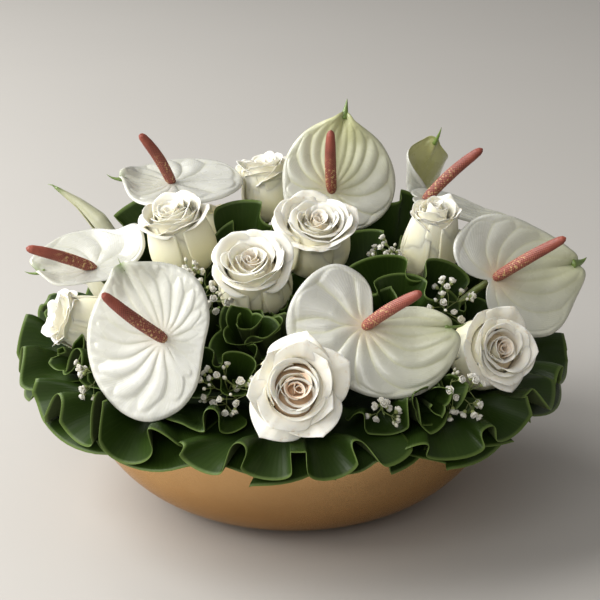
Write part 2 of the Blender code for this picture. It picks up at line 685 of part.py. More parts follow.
def build_spray(name, root, clusters, seed):
    """One stem that forks to its clusters, every cluster a stalk with twigs drawn out of its sides and a
    floret at the end of each twig."""
    rng = np.random.default_rng(seed)
    root = vec(*root)
    fork = root + vec(0, 0, 8)
    mesh = bmesh.new()
    rings = tube_rings([root - vec(0, 0, 18), fork], [1.3, 1.1], TWIG_SIDES, (1, 1, 0))
    corners = [[mesh.verts.new(p) for p in ring] for ring in rings]
    mesh.faces.new(corners[0][::-1])
    for i in range(TWIG_SIDES):
        j = (i + 1) % TWIG_SIDES
        mesh.faces.new((corners[0][i], corners[0][j], corners[1][j], corners[1][i]))
    branches, end = grow(mesh.faces.new(corners[1]), mesh, [fork + vec(0, 0, 5)], [1.1])
    for k, (centre, spread, count) in enumerate(clusters):
        centre = vec(*centre)
        outward = unit(centre - fork)
        node = centre - outward * spread * 0.5
        if k:
            end = max(branches, key=lambda side: float(np.dot(face_normal(side), outward)))
        start = np.array(end.calc_center_median())
        lift = face_normal(end) * 8
        stalk = bezier(start + lift / 4, start + lift * 2, node - outward * spread, node, STALK_STEPS)
        sides, tip = grow(end, mesh, stalk, np.linspace(1.0, 0.8, len(stalk)))
        twigs = 0
        length = spread / math.ceil(count / TWIG_SIDES)
        point = node
        while twigs < count:
            climb = 1.3 * twigs / count
            point = point + outward * length
            sides, tip = grow(tip, mesh, [point], [0.8])
            for side in sides:
                if twigs == count:
                    break
                middle = np.array(side.calc_center_median())
                aim = unit(face_normal(side) + outward * climb + 0.12 * rng.normal(size=3))
                reach = spread * (0.7 + 0.35 * rng.random())
                size = FLORET_R * (0.75 + 0.35 * rng.random())
                tail = middle + aim * reach
                grow(side, mesh, [middle + aim * 1.5, tail - aim * size, tail, tail + aim * size * 0.8],
                     [TWIG_R, TWIG_R, size, size * 0.45])
                twigs += 1
        crown = [point + outward * 4, point + outward * 8, point + outward * 10]
        grow(tip, mesh, crown, [TWIG_R, FLORET_R, 0.4 * FLORET_R])
    for corner in mesh.verts:
        corner.co *= MM
    data = bpy.data.meshes.new(f"spray_{name}")
    mesh.to_mesh(data)
    mesh.free()
    spray = bpy.data.objects.new(f"spray_{name}", data)
    bpy.context.scene.collection.objects.link(spray)
    data.materials.append(MATERIALS["floret"])
    return [root + vec(0, 0, 14), root - vec(0, 0, 18)], 1.3


def make_material(name, colour, roughness, metallic):
    material = bpy.data.materials.new(name)
    material.use_nodes = True
    shader = material.node_tree.nodes["Principled BSDF"]
    shader.inputs["Base Color"].default_value = (*colour, 1)
    shader.inputs["Roughness"].default_value = roughness
    shader.inputs["Metallic"].default_value = metallic
    material.diffuse_color = (*colour, 1)
    return material


for old in list(bpy.data.objects):
    bpy.data.objects.remove(old)
MATERIALS = {name: make_material(name, *finish) for name, finish in FINISHES.items()}

build_bowl()
STEMS = [build_anthurium(flower) for flower in ANTHURIUMS]
STEMS.append(build_bud())
STEMS += [build_rose(*rose) for rose in ROSES]
STEMS += [build_leaf(leaf) for leaf in collar_leaves() + LEAVES]
STEMS += [build_spray(*spray) for spray in SPRAYS]
build_foam(STEMS)
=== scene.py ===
"""Looks of the floral table centerpiece: fine flowers, leaves and bowl in the places of the plain solids.

Sizes are in millimetres and are turned into metres where a mesh is made. The front faces -Y.
"""

import math
from dataclasses import dataclass

import bpy
import numpy as np
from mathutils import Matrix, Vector


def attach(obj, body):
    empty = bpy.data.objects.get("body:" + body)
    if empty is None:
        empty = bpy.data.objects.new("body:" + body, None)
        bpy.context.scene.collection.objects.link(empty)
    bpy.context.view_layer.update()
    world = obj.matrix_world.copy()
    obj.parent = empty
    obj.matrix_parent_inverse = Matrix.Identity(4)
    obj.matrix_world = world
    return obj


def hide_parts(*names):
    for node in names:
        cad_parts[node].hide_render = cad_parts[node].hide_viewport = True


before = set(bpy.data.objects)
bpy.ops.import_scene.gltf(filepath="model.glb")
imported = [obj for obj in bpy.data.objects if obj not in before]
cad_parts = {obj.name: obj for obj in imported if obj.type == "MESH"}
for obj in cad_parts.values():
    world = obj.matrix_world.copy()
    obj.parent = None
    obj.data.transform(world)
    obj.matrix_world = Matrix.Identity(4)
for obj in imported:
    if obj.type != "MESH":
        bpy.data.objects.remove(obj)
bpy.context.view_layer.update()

MM = 0.001
GOLDEN_DEG = 137.5

# Bowl and foam, with the radii, heights and wall of the solids
BOWL_FOOT_R = 60.0
BOWL_RIM_R = 155.0
BOWL_HEIGHT = 100.0
BOWL_WALL = 3.0
BOWL_SIDES = 180
BOWL_STEPS = 26
FLAT_INSET = 40.0
FOAM_SHOULDER = (148.0, 96.0)
FOAM_TOP = 120.0
STEM_FOOT_Z = 84.0

# Anthuriums
SPATHE_HALF = 0.45
SPATHE_LIFT = 0.8
SECTORS = 216
RINGS = 62
EYE_R = 3.0
TIP_TRIM = 5.0
SPUR = 11.0
LANE_WIDEST = 15.0
SPADIX_R = 3.9
SPADIX_SIDES = 100
SPADIX_RINGS = 190
SPIRALS = (14, 13)
BUMP_PITCH = 1.9
BUMP_HEIGHT = 0.42
STEM_R = 2.6
ANTHURIUM_SEED = 40

# Roses
PETAL_HALF = 0.28
PETAL_COLUMNS = 31
PETAL_BODY_ROWS = 13
PETAL_RIM_ROWS = 12
SEPALS = 5

# Leaves
LEAF_HALF = 0.32
LEAF_ROOT_R = 3.0
LEAF_STALK = 20.0
LEAF_ROWS = 22
WAVE_COLUMNS = 54
ROSE_SHARES = (0.0, 0.15, 0.5, 0.85, 1.05)
ROSE_ROOM = (0.15, 0.55, 0.84, 1.05, 1.18)
SHIELD_ROOM = 5.0
# Map of the plan by which the rows of leaves are laid over one another
MAP_TURNS = 180
MAP_STEP = 4.0
MAP_STEPS = 56
LAYER_GAP = 1.2


# Vectors and curves


def vec(*values):
    return np.array(values, float)


def unit(v):
    v = np.asarray(v, float)
    return v / np.linalg.norm(v)


def tangents(path):
    """Unit direction of a path at each of its points."""
    way = np.gradient(path, axis=0)
    return way / np.linalg.norm(way, axis=1)[:, None]


def facing_frame(normal, along):
    """Columns: the in-plane direction nearest to along, the one a quarter turn left, and the normal."""
    z = unit(normal)
    x = unit(np.asarray(along, float) - np.dot(along, z) * z)
    return np.column_stack([x, np.cross(z, x), z])


def upright_frame(axis):
    """The axis as the third column, after a direction across it: about up, or right for a steep axis."""
    return facing_frame(axis, (0.3, 0.2, 1.0) if abs(axis[2]) < 0.9 else (1.0, 0.2, 0))


def heading_frame(heading, normal):
    """Columns: the heading, the direction a quarter turn left of it, and the normal squared up to both."""
    x = unit(heading)
    z = unit(np.asarray(normal, float) - np.dot(normal, x) * x)
    return np.column_stack([x, np.cross(z, x), z])


def circle(count):
    """Evenly spaced turns round a circle, in radians."""
    return np.arange(count) * 2 * math.pi / count


def ring(centre, across, up, radius, turns):
    """Points round a centre, in the plane of across and up."""
    return centre + np.reshape(radius, (-1, 1)) * (
        np.outer(np.cos(turns), across) + np.outer(np.sin(turns), up)
    )


def around(radius, turn, rise):
    """Points at a distance from the third axis, a turn round it and a rise along it."""
    return np.stack(np.broadcast_arrays(radius * np.cos(turn), radius * np.sin(turn), rise), -1)


def turned(out, side, turn, rise):
    """Points out along a heading at a turn round the third axis, to the side of it and along the axis."""
    c, s = math.cos(turn), math.sin(turn)
    return np.stack([out * c - side * s, out * s + side * c, rise], -1)


def bezier(p0, p1, p2, p3, steps):
    """Points along a cubic curve, its ends included."""
    t = np.linspace(0, 1, steps + 1)[:, None]
    s = 1 - t
    p0, p1, p2, p3 = (np.asarray(p, float)[None] for p in (p0, p1, p2, p3))
    return s**3 * p0 + 3 * s * s * t * p1 + 3 * s * t * t * p2 + t**3 * p3


def smooth(low, high, value):
    """0 below low, 1 above high, with a soft step between them."""
    t = np.clip((value - low) / (high - low), 0, 1)
    return t * t * (3 - 2 * t)


def peak(value, width):
    """1 where a value is 0, falling away softly over a width."""
    return np.exp(-((value / width) ** 2))


def bend(points, bends):
    """Rolls what lies beyond a start along a heading of the flat piece, for each heading in degrees, start
    and curl. A positive curl lifts it to the face side."""
    out = np.array(points, float)
    for degrees, start, curl in bends:
        heading = vec(math.cos(math.radians(degrees)), math.sin(math.radians(degrees)), 0)
        along = out @ heading - start
        beyond = along > 0
        s, z = along[beyond], out[beyond, 2]
        angle = curl * s
        out[beyond] += np.outer(np.sin(angle) / curl - z * np.sin(angle) - s, heading)
        out[beyond, 2] = (1 - np.cos(angle)) / curl + z * np.cos(angle)
    return out


def outline_radius(outline, degrees):
    """Smooth closed outline through (angle, radius) pairs that go round once, counted from the tip."""
    angles, radii = np.array(outline, float).T
    angles = np.concatenate([angles[-2:] - 360, angles, angles[:2] + 360])
    radii = np.concatenate([radii[-2:], radii, radii[:2]])
    degrees = np.asarray(degrees, float) % 360
    k = np.clip(np.searchsorted(angles, degrees, side="right") - 1, 1, len(angles) - 3)
    span = angles[k + 1] - angles[k]
    t = (degrees - angles[k]) / span
    steep = 3 * np.abs(radii[k + 1] - radii[k])
    slope0 = (radii[k + 1] - radii[k - 1]) / (angles[k + 1] - angles[k - 1]) * span
    slope1 = (radii[k + 2] - radii[k]) / (angles[k + 2] - angles[k]) * span
    slope0, slope1 = np.clip(slope0, -steep, steep), np.clip(slope1, -steep, steep)
    return (
        (2 * t**3 - 3 * t**2 + 1) * radii[k]
        + (t**3 - 2 * t**2 + t) * slope0
        + (3 * t**2 - 2 * t**3) * radii[k + 1]
        + (t**3 - t**2) * slope1
    )


def wobble(x, y, rng, count=4):
    """A smooth seeded ripple over two coordinates, mostly between -1 and 1."""
    total = 0.0
    for _ in range(count):
        a, b = rng.normal(size=2)
        total = total + np.sin(a * x + b * y + rng.uniform(0, 2 * math.pi))
    return total / math.sqrt(count)


# Meshes: a part is its points, quads, triangles and named values, one of each for every point


def grid_normals(grid, closed):
    along = np.gradient(grid, axis=0)
    if closed:
        across = np.roll(grid, -1, axis=1) - np.roll(grid, 1, axis=1)
    else:
        across = np.gradient(grid, axis=1)
    normal = np.cross(along, across)
    return normal / np.maximum(np.linalg.norm(normal, axis=2, keepdims=True), 1e-9)


def cells(index):
    """The four corners of each cell in a grid of point numbers."""
    return np.stack([index[:-1, :-1], index[1:, :-1], index[1:, 1:], index[:-1, 1:]], -1).reshape(-1, 4)


def fans(low, low_loop, high, high_loop):
    """Triangles from two points to the edges of their loops, the first fan turned the other way round."""
    first = np.stack([np.full(len(low_loop) - 1, low), low_loop[1:], low_loop[:-1]], -1)
    second = np.stack([np.full(len(high_loop) - 1, high), high_loop[:-1], high_loop[1:]], -1)
    return np.vstack([first, second])


def thin_sheet(grid, half, closed=False, hub=None, **values):
    """A thin closed sheet round a grid of points, rows from the root outwards. closed joins the last column
    to the first, and hub is then the point inside the first row. values are spread over the points."""
    rows, columns = grid.shape[:2]
    count = rows * columns
    normals = grid_normals(grid, closed)
    half = np.broadcast_to(half, (rows, columns))
    shift = normals * half[..., None]
    index = np.arange(count).reshape(rows, columns)
    if closed:
        index = np.hstack([index, index[:, :1]])
        loop = index[-1]
    else:
        loop = np.concatenate([index[:, 0], index[-1, 1:], index[::-1, -1][1:], index[0, ::-1][1:]])
    quads = cells(index)
    rim = np.stack([loop[:-1], loop[:-1] + count, loop[1:] + count, loop[1:]], -1)
    points = np.vstack([(grid + shift).reshape(-1, 3), (grid - shift).reshape(-1, 3)])
    triangles = np.zeros((0, 3), int)
    spread = {name: np.tile(np.broadcast_to(v, (rows, columns)).reshape(-1), 2) for name, v in values.items()}
    spread["face"] = np.repeat([1.0, 0.0], count)
    if hub is not None:
        middle = normals[0].mean(axis=0) * half[0, 0]
        points = np.vstack([points, hub + middle, hub - middle])
        triangles = fans(2 * count + 1, index[0] + count, 2 * count, index[0])
        spread = {name: np.append(v, [v[:columns].mean()] * 2) for name, v in spread.items()}
    return points, np.vstack([quads, quads[:, ::-1] + count, rim]), triangles, spread


def skin(rings, ends, **values):
    """A closed skin through rings of points, with a fan to a point at either end. values are one number, one
    for each ring or one for each point of the rings."""
    rows, sides = rings.shape[:2]
    count = rows * sides
    index = np.arange(count).reshape(rows, sides)
    index = np.hstack([index, index[:, :1]])
    spread = {}
    for name, value in values.items():
        value = np.asarray(value, float)
        value = np.broadcast_to(value[:, None] if value.ndim == 1 else value, (rows, sides))
        spread[name] = np.concatenate([value.reshape(-1), [value[0].mean(), value[-1].mean()]])
    points = np.vstack([rings.reshape(-1, 3), ends])
    return points, cells(index)[:, [0, 3, 2, 1]], fans(count, index[0], count + 1, index[-1]), spread


def tube(path, radii, sides=10, **values):
    """A closed tube along a path, carried without twist."""
    path = np.asarray(path, float)
    ways = tangents(path)
    across = np.cross(vec(0, 0, 1) if abs(ways[0][2]) < 0.9 else vec(1, 0, 0), ways[0])
    rings = []
    for point, way, radius in zip(path, ways, np.broadcast_to(radii, len(path))):
        across = unit(across - np.dot(across, way) * way)
        rings.append(ring(point, across, np.cross(way, across), radius, circle(sides)))
    return skin(np.array(rings), [path[0], path[-1]], **values)


def join(parts):
    """One part from several. A value that one of them lacks is 0 there."""
    names = sorted({name for part in parts for name in part[3]})
    offsets = np.cumsum([0] + [len(part[0]) for part in parts])
    points = np.vstack([part[0] for part in parts])
    quads, triangles = (np.vstack([part[n] + k for part, k in zip(parts, offsets)]) for n in (1, 2))
    spread = {
        name: np.concatenate([part[3].get(name, np.zeros(len(part[0]))) for part in parts]) for name in names
    }
    return points, quads, triangles, spread


def add_piece(name, parts, slot, replaces=None):
    """A mesh object from parts in millimetres. Each value goes along as a named number on the points."""
    points, quads, triangles, values = join(parts)
    corners = np.concatenate([quads.reshape(-1), triangles.reshape(-1)]).astype(np.int32)
    sizes = np.concatenate([np.full(len(quads), 4), np.full(len(triangles), 3)])
    starts = (np.cumsum(sizes) - sizes).astype(np.int32)
    mesh = bpy.data.meshes.new(name)
    mesh.vertices.add(len(points))
    mesh.vertices.foreach_set("co", (points * MM).astype(np.float32).reshape(-1))
    mesh.loops.add(len(corners))
    mesh.loops.foreach_set("vertex_index", corners)
    mesh.polygons.add(len(starts))
    mesh.polygons.foreach_set("loop_start", starts)
    mesh.update(calc_edges=True)
    mesh.validate()
    mesh.shade_smooth()
    for key, numbers in values.items():
        layer = mesh.attributes.new(key, "FLOAT", "POINT")
        layer.data.foreach_set("value", numbers.astype(np.float32))
    obj = add_object(name, mesh)
    mesh.materials.append(MATERIALS[slot])
    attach(obj, "root")
    if replaces:
        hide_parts(replaces)


def add_object(name, data):
    obj = bpy.data.objects.new(name, data)
    bpy.context.scene.collection.objects.link(obj)
    return obj


# Materials


class Nodes:
    """A material's node tree with a colour and a relief that are built up in layers. Where a call takes a
    number, it also takes a socket or the name of a number on the points."""

    def __init__(self, name):
        self.material = bpy.data.materials.new(name)
        self.material.use_nodes = True
        self.tree = self.material.node_tree
        self.shader = self.tree.nodes["Principled BSDF"]
        self.relief = None

    def add(self, kind, inputs=(), **settings):
        node = self.tree.nodes.new(kind)
        for key, value in settings.items():
            setattr(node, key, value)
        for key, value in dict(inputs).items():
            self.put(node.inputs[key], value)
        return node

    def put(self, socket, value):
        if isinstance(value, str):
            value = self.add("ShaderNodeAttribute", attribute_name=value).outputs["Fac"]
        if isinstance(value, bpy.types.NodeSocket):
            self.tree.links.new(value, socket)
        else:
            socket.default_value = (*value, 1) if socket.type == "RGBA" else value

    def math(self, operation, a, b=0.0):
        return self.add("ShaderNodeMath", {0: a, 1: b}, operation=operation).outputs[0]

    def times(self, a, b):
        return self.math("MULTIPLY", a, b)

    def back(self):
        """1 on the back of a sheet and 0 on its face."""
        return self.math("SUBTRACT", 1.0, "face")

    def stripes(self, pace):
        """Waves across the lines that the veins follow."""
        return self.math("SINE", self.times("flow", pace))

    def mix(self, factor, a, b):
        return self.add("ShaderNodeMix", {"Factor": factor, 6: a, 7: b}, data_type="RGBA").outputs[2]

    def noise(self, scale, detail=3.0, rough=0.5, stretch=(1, 1, 1)):
        place = self.add("ShaderNodeTexCoord").outputs["Object"]
        place = self.add("ShaderNodeMapping", {"Vector": place, "Scale": stretch}).outputs[0]
        inputs = {"Vector": place, "Scale": scale, "Detail": detail, "Roughness": rough}
        return self.add("ShaderNodeTexNoise", inputs).outputs["Fac"]

    def spread(self, value, low, high, to_low=0.0, to_high=1.0):
        inputs = {"Value": value, "From Min": low, "From Max": high, "To Min": to_low, "To Max": to_high}
        return self.add("ShaderNodeMapRange", inputs).outputs[0]

    def tint(self, amount, tone):
        """Lays a tone over the colour."""
        self.colour = self.mix(amount, self.colour, tone)

    def bump(self, height, distance, strength):
        """Adds to the relief."""
        inputs = {"Height": height, "Distance": distance, "Strength": strength}
        if self.relief:
            inputs["Normal"] = self.relief
        self.relief = self.add("ShaderNodeBump", inputs).outputs[0]

    def soften(self, weight, radius, scale):
        """Light that passes a little way through thin plant tissue."""
        self.set(Subsurface_Weight=weight, Subsurface_Radius=radius, Subsurface_Scale=scale)

    def set(self, **inputs):
        for key, value in inputs.items():
            self.put(self.shader.inputs[key.replace("_", " ")], value)

    def finish(self, **inputs):
        self.set(Base_Color=self.colour, **inputs)
        if self.relief:
            self.set(Normal=self.relief)
        return self.material


def spathe_material():
    """Waxy ivory shield: yellow-green sunken veins, a green tip, a blush round the eye, a greener back."""
    n = Nodes("spathe_wax")
    n.colour = n.mix(n.spread(n.noise(60, 4), 0.3, 0.7), (0.53, 0.53, 0.472), (0.605, 0.605, 0.555))
    n.tint("green", (0.56, 0.57, 0.24))
    n.tint(n.times(n.back(), "back"), (0.50, 0.50, 0.20))
    n.tint(n.times("vein", 0.45), (0.52, 0.52, 0.26))
    n.tint("blush", (0.74, 0.47, 0.30))
    n.tint("tip", (0.16, 0.24, 0.05))
    n.bump(n.stripes(75.0), 0.00006, 0.35)
    n.bump(n.noise(420, 3), 0.00025, 0.30)
    n.soften(0.10, (1.0, 0.9, 0.5), 0.0005)
    rough = n.spread(n.noise(90, 3), 0.35, 0.7, 0.22, 0.38)
    return n.finish(Roughness=rough, Coat_Weight=0.40, Coat_Roughness=0.14)


def spadix_material():
    """Brick red spike with painted shade in the furrows between its grains and a dusting of pollen."""
    n = Nodes("spadix_grain")
    n.colour = n.mix(n.spread(n.noise(140, 3), 0.35, 0.65), (0.22, 0.046, 0.028), (0.32, 0.075, 0.046))
    n.tint("pale", (0.50, 0.165, 0.115))
    # Painted shade: the furrows between the grains darkened.
    n.tint(n.times(n.spread("pit", 0.25, 0.75), 0.9), (0.080, 0.013, 0.010))
    pollen = n.math("GREATER_THAN", n.noise(620, 2), 0.60)
    n.tint(n.times(pollen, n.times("dust", 0.8)), (0.62, 0.44, 0.20))
    n.bump(n.noise(1600, 2), 0.00012, 0.5)
    return n.finish(Roughness=0.50)


def stem_material():
    """Green stalk, paler towards the bloom, with fine lengthwise lines."""
    n = Nodes("stem_skin")
    n.colour = n.mix("along", (0.055, 0.11, 0.02), (0.20, 0.25, 0.07))
    n.tint(n.spread(n.noise(160, 4), 0.4, 0.75), (0.10, 0.10, 0.03))
    n.bump(n.noise(900, 3, 0.6, (1, 1, 0.12)), 0.0002, 0.5)
    return n.finish(Roughness=0.45)


def petal_material():
    """Creamy white petal: white rim, greener and yellower down the outside, peach tint and painted shade deep
    inside.
    """
    n = Nodes("petal_satin")
    n.colour = n.mix(n.spread(n.noise(70, 4), 0.3, 0.7), (0.88, 0.85, 0.75), (0.91, 0.895, 0.82))
    n.tint(n.times(n.spread("along", 1.0, 0.50), n.times(n.back(), 0.85)), (0.84, 0.79, 0.50))
    # Painted shade in part: the peach deep inside the bloom is partly a real tint and partly the shade in the
    # hollows between the petals.
    warm = n.times(n.spread("along", 0.92, 0.45), n.times("warm", "face"))
    n.tint(n.math("MAXIMUM", warm, n.times("heart", 0.70)), (0.80, 0.50, 0.29))
    n.tint(n.times("bruise", n.spread(n.noise(320, 4), 0.55, 0.75)), (0.60, 0.40, 0.22))
    n.bump(n.stripes(60.0), 0.00005, 0.25)
    n.bump(n.noise(260, 4), 0.0004, 0.20)
    n.soften(0.45, (1.0, 0.92, 0.75), 0.0006)
    return n.finish(Roughness=0.6, Specular_IOR_Level=0.3)


def leaf_material():
    """Deep satin green blade with close parallel veins, painted shade on its inner part, a pale margin line
    and a duller, paler back.
    """
    n = Nodes("leaf_gloss")
    inner, back, vein = n.spread("along", 0.60, 0.25), n.back(), n.stripes(4.2)
    n.colour = n.mix(n.spread(n.noise(28, 4), 0.3, 0.7), (0.010, 0.024, 0.003), (0.020, 0.042, 0.005))
    n.tint(n.times(n.spread("along", 0.45, 1.0), 0.4), (0.034, 0.063, 0.009))
    # Painted shade: the inner part of the blade, near its root, darkened where it lies deep between the
    # folds.
    n.tint(n.times(inner, 0.8), (0.004, 0.008, 0.0015))
    strong = n.spread(n.stripes(0.9), -1.0, 1.0, 0.05, 0.30)
    n.tint(n.times(n.spread(vein, 0.6, 1.0), strong), (0.040, 0.066, 0.012))
    n.tint(n.times(back, 0.5), (0.050, 0.058, 0.024))
    n.tint(n.times("edge", 0.75), (0.15, 0.22, 0.050))
    n.bump(vein, 0.00010, 0.25)
    n.bump(n.noise(160, 4), 0.0006, 0.18)
    dull = n.times(n.math("MAXIMUM", back, inner), 0.25)
    rough = n.math("ADD", n.spread(n.noise(50, 3), 0.35, 0.7, 0.36, 0.50), dull)
    return n.finish(Roughness=rough, Specular_IOR_Level=0.20)


def floret_material():
    """Matt white florets with a green heart."""
    n = Nodes("floret_white")
    n.colour = n.mix(n.spread(n.noise(300, 3), 0.35, 0.7), (0.62, 0.59, 0.50), (0.84, 0.82, 0.76))
    n.tint("heart", (0.26, 0.30, 0.10))
    n.bump(n.noise(900, 3), 0.0003, 0.4)
    n.soften(0.2, (1.0, 0.9, 0.7), 0.001)
    return n.finish(Roughness=0.65)


def bowl_material():
    """Satin gold metal with a fine speckled grain and faint cloudy wear, with painted shade darkening it
    towards the foot.
    """
    n = Nodes("bowl_gold")
    cloud, grain = n.noise(9, 5, 0.6), n.noise(1400, 3, 0.7)
    n.colour = n.mix(n.spread(cloud, 0.3, 0.7), (0.56, 0.335, 0.148), (0.68, 0.425, 0.197))
    # Painted shade: darker towards the foot, standing in for the shadow and dark reflection below the bowl.
    n.tint(n.spread("up", 0.55, 0.0, 0.0, 0.65), (0.30, 0.145, 0.045))
    n.tint(n.spread(grain, 0.35, 0.65, 0.0, 0.35), (0.44, 0.25, 0.105))
    n.bump(n.noise(4, 4, 0.6, (1, 1, 60)), 0.0004, 0.12)
    n.bump(grain, 0.00022, 0.5)
    rough = n.math("ADD", n.spread(grain, 0.3, 0.7, -0.04, 0.06), n.spread(cloud, 0.3, 0.7, 0.20, 0.27))
    return n.finish(Metallic=1.0, Roughness=rough, Specular_Tint=(1.0, 0.86, 0.68))


def foam_material():
    """Wet dark green foam, open-pored and crumbly."""
    n = Nodes("foam_pores")
    pores = n.noise(650, 4, 0.7)
    n.colour = n.mix(n.spread(pores, 0.35, 0.7), (0.005, 0.010, 0.003), (0.020, 0.038, 0.012))
    n.tint(n.spread(n.noise(45, 3), 0.45, 0.75), (0.012, 0.016, 0.005))
    n.bump(pores, 0.0016, 0.9)
    return n.finish(Roughness=0.82, Specular_IOR_Level=0.2)


def floor_material():
    """One pale tone with a hardly visible cloud."""
    n = Nodes("floor_plain")
    n.colour = n.mix(n.noise(3.0, 3), (0.50, 0.48, 0.45), (0.52, 0.4992, 0.468))
    return n.finish(Roughness=0.75)


MATERIALS = dict(
    brass=bowl_material(), foam=foam_material(), spathe=spathe_material(), spadix=spadix_material(),
    stem=stem_material(), petal=petal_material(), leaf=leaf_material(), floret=floret_material(),
)


# Bowl and foam


def bowl_radius(foot, rim, z):
    """Radius of the bowl's rounded side at a height, from the foot's radius to the rim's."""
    share = np.clip(z / BOWL_HEIGHT, 0, 1)
    return foot + (rim - foot) * np.sqrt(1 - (1 - share) ** 2)


def build_bowl():
    """The turned shell with a rounded lip and a small bevel round its foot."""
    steps = np.linspace(0, 1, BOWL_STEPS + 1) ** 2
    foot, rim, half = BOWL_FOOT_R - BOWL_WALL, BOWL_RIM_R - BOWL_WALL, BOWL_WALL / 2
    profile = [(BOWL_FOOT_R - FLAT_INSET, 0.0), (BOWL_FOOT_R - 1.2, 0.0), (BOWL_FOOT_R + 0.4, 0.8)]
    profile += [(bowl_radius(BOWL_FOOT_R, BOWL_RIM_R, z), z) for z in steps[1:] * BOWL_HEIGHT]
    for a in np.radians([30, 60, 90, 120, 150]):
        profile.append((BOWL_RIM_R - half + half * math.cos(a), BOWL_HEIGHT + half * math.sin(a) * 0.7))
    profile += [(bowl_radius(foot, rim, z), z + BOWL_WALL) for z in steps[::-1] * (BOWL_HEIGHT - BOWL_WALL)]
    profile.append((foot - FLAT_INSET, BOWL_WALL))
    r, z = np.array(profile).T
    rings = around(r[:, None], circle(BOWL_SIDES), z[:, None])
    shell = skin(rings, [(0, 0, 0), (0, 0, BOWL_WALL)], up=z / BOWL_HEIGHT)
    add_piece("bowl_shell", [shell], "brass", "bowl")


def foam_top(x, y):
    """Height of the foam's domed top above a place on the plan."""
    share = (x * x + y * y) / FOAM_SHOULDER[0] ** 2
    return FOAM_TOP - (FOAM_TOP - FOAM_SHOULDER[1]) * share


# Anthuriums


@dataclass
class Anthurium:
    """A shield with its spike and stalk: middle of the eye, normal of the face, direction of the tip, outline
    in degrees from the tip, counter-clockwise from the face, and mm, bends as heading, start and curl,
    direction and length of the spike, place of the stalk in the foam. The rest are looks."""

    name: str
    eye: tuple
    normal: tuple
    tip: tuple
    outline: list
    bends: list
    spadix: tuple
    length: float
    foot: tuple
    # How strongly the lines of the mesh sweep to the tip on either side
    sweep: tuple = (0.6, 0.6)
    # Number of lanes between veins, and where the veins meet, as a share of the way to the tip
    veins: int = 7
    meet: float = 1.2
    # How far the tops of the pillows lean away from the midrib, and width of the margin's band
    crease: float = 1.4
    band: float = 5.0
    # Height of the pillows and of the scales, strength of the vein lines
    puff: float = 0.06
    scales: float = 0.05
    lines: float = 0.35
    # How green the face and the back are, blush round the eye, paleness of the spike, size of the spur
    green: float = 0.12
    back: float = 0.5
    blush: float = 0.0
    pale: float = 0.3
    spur: float = 2.0


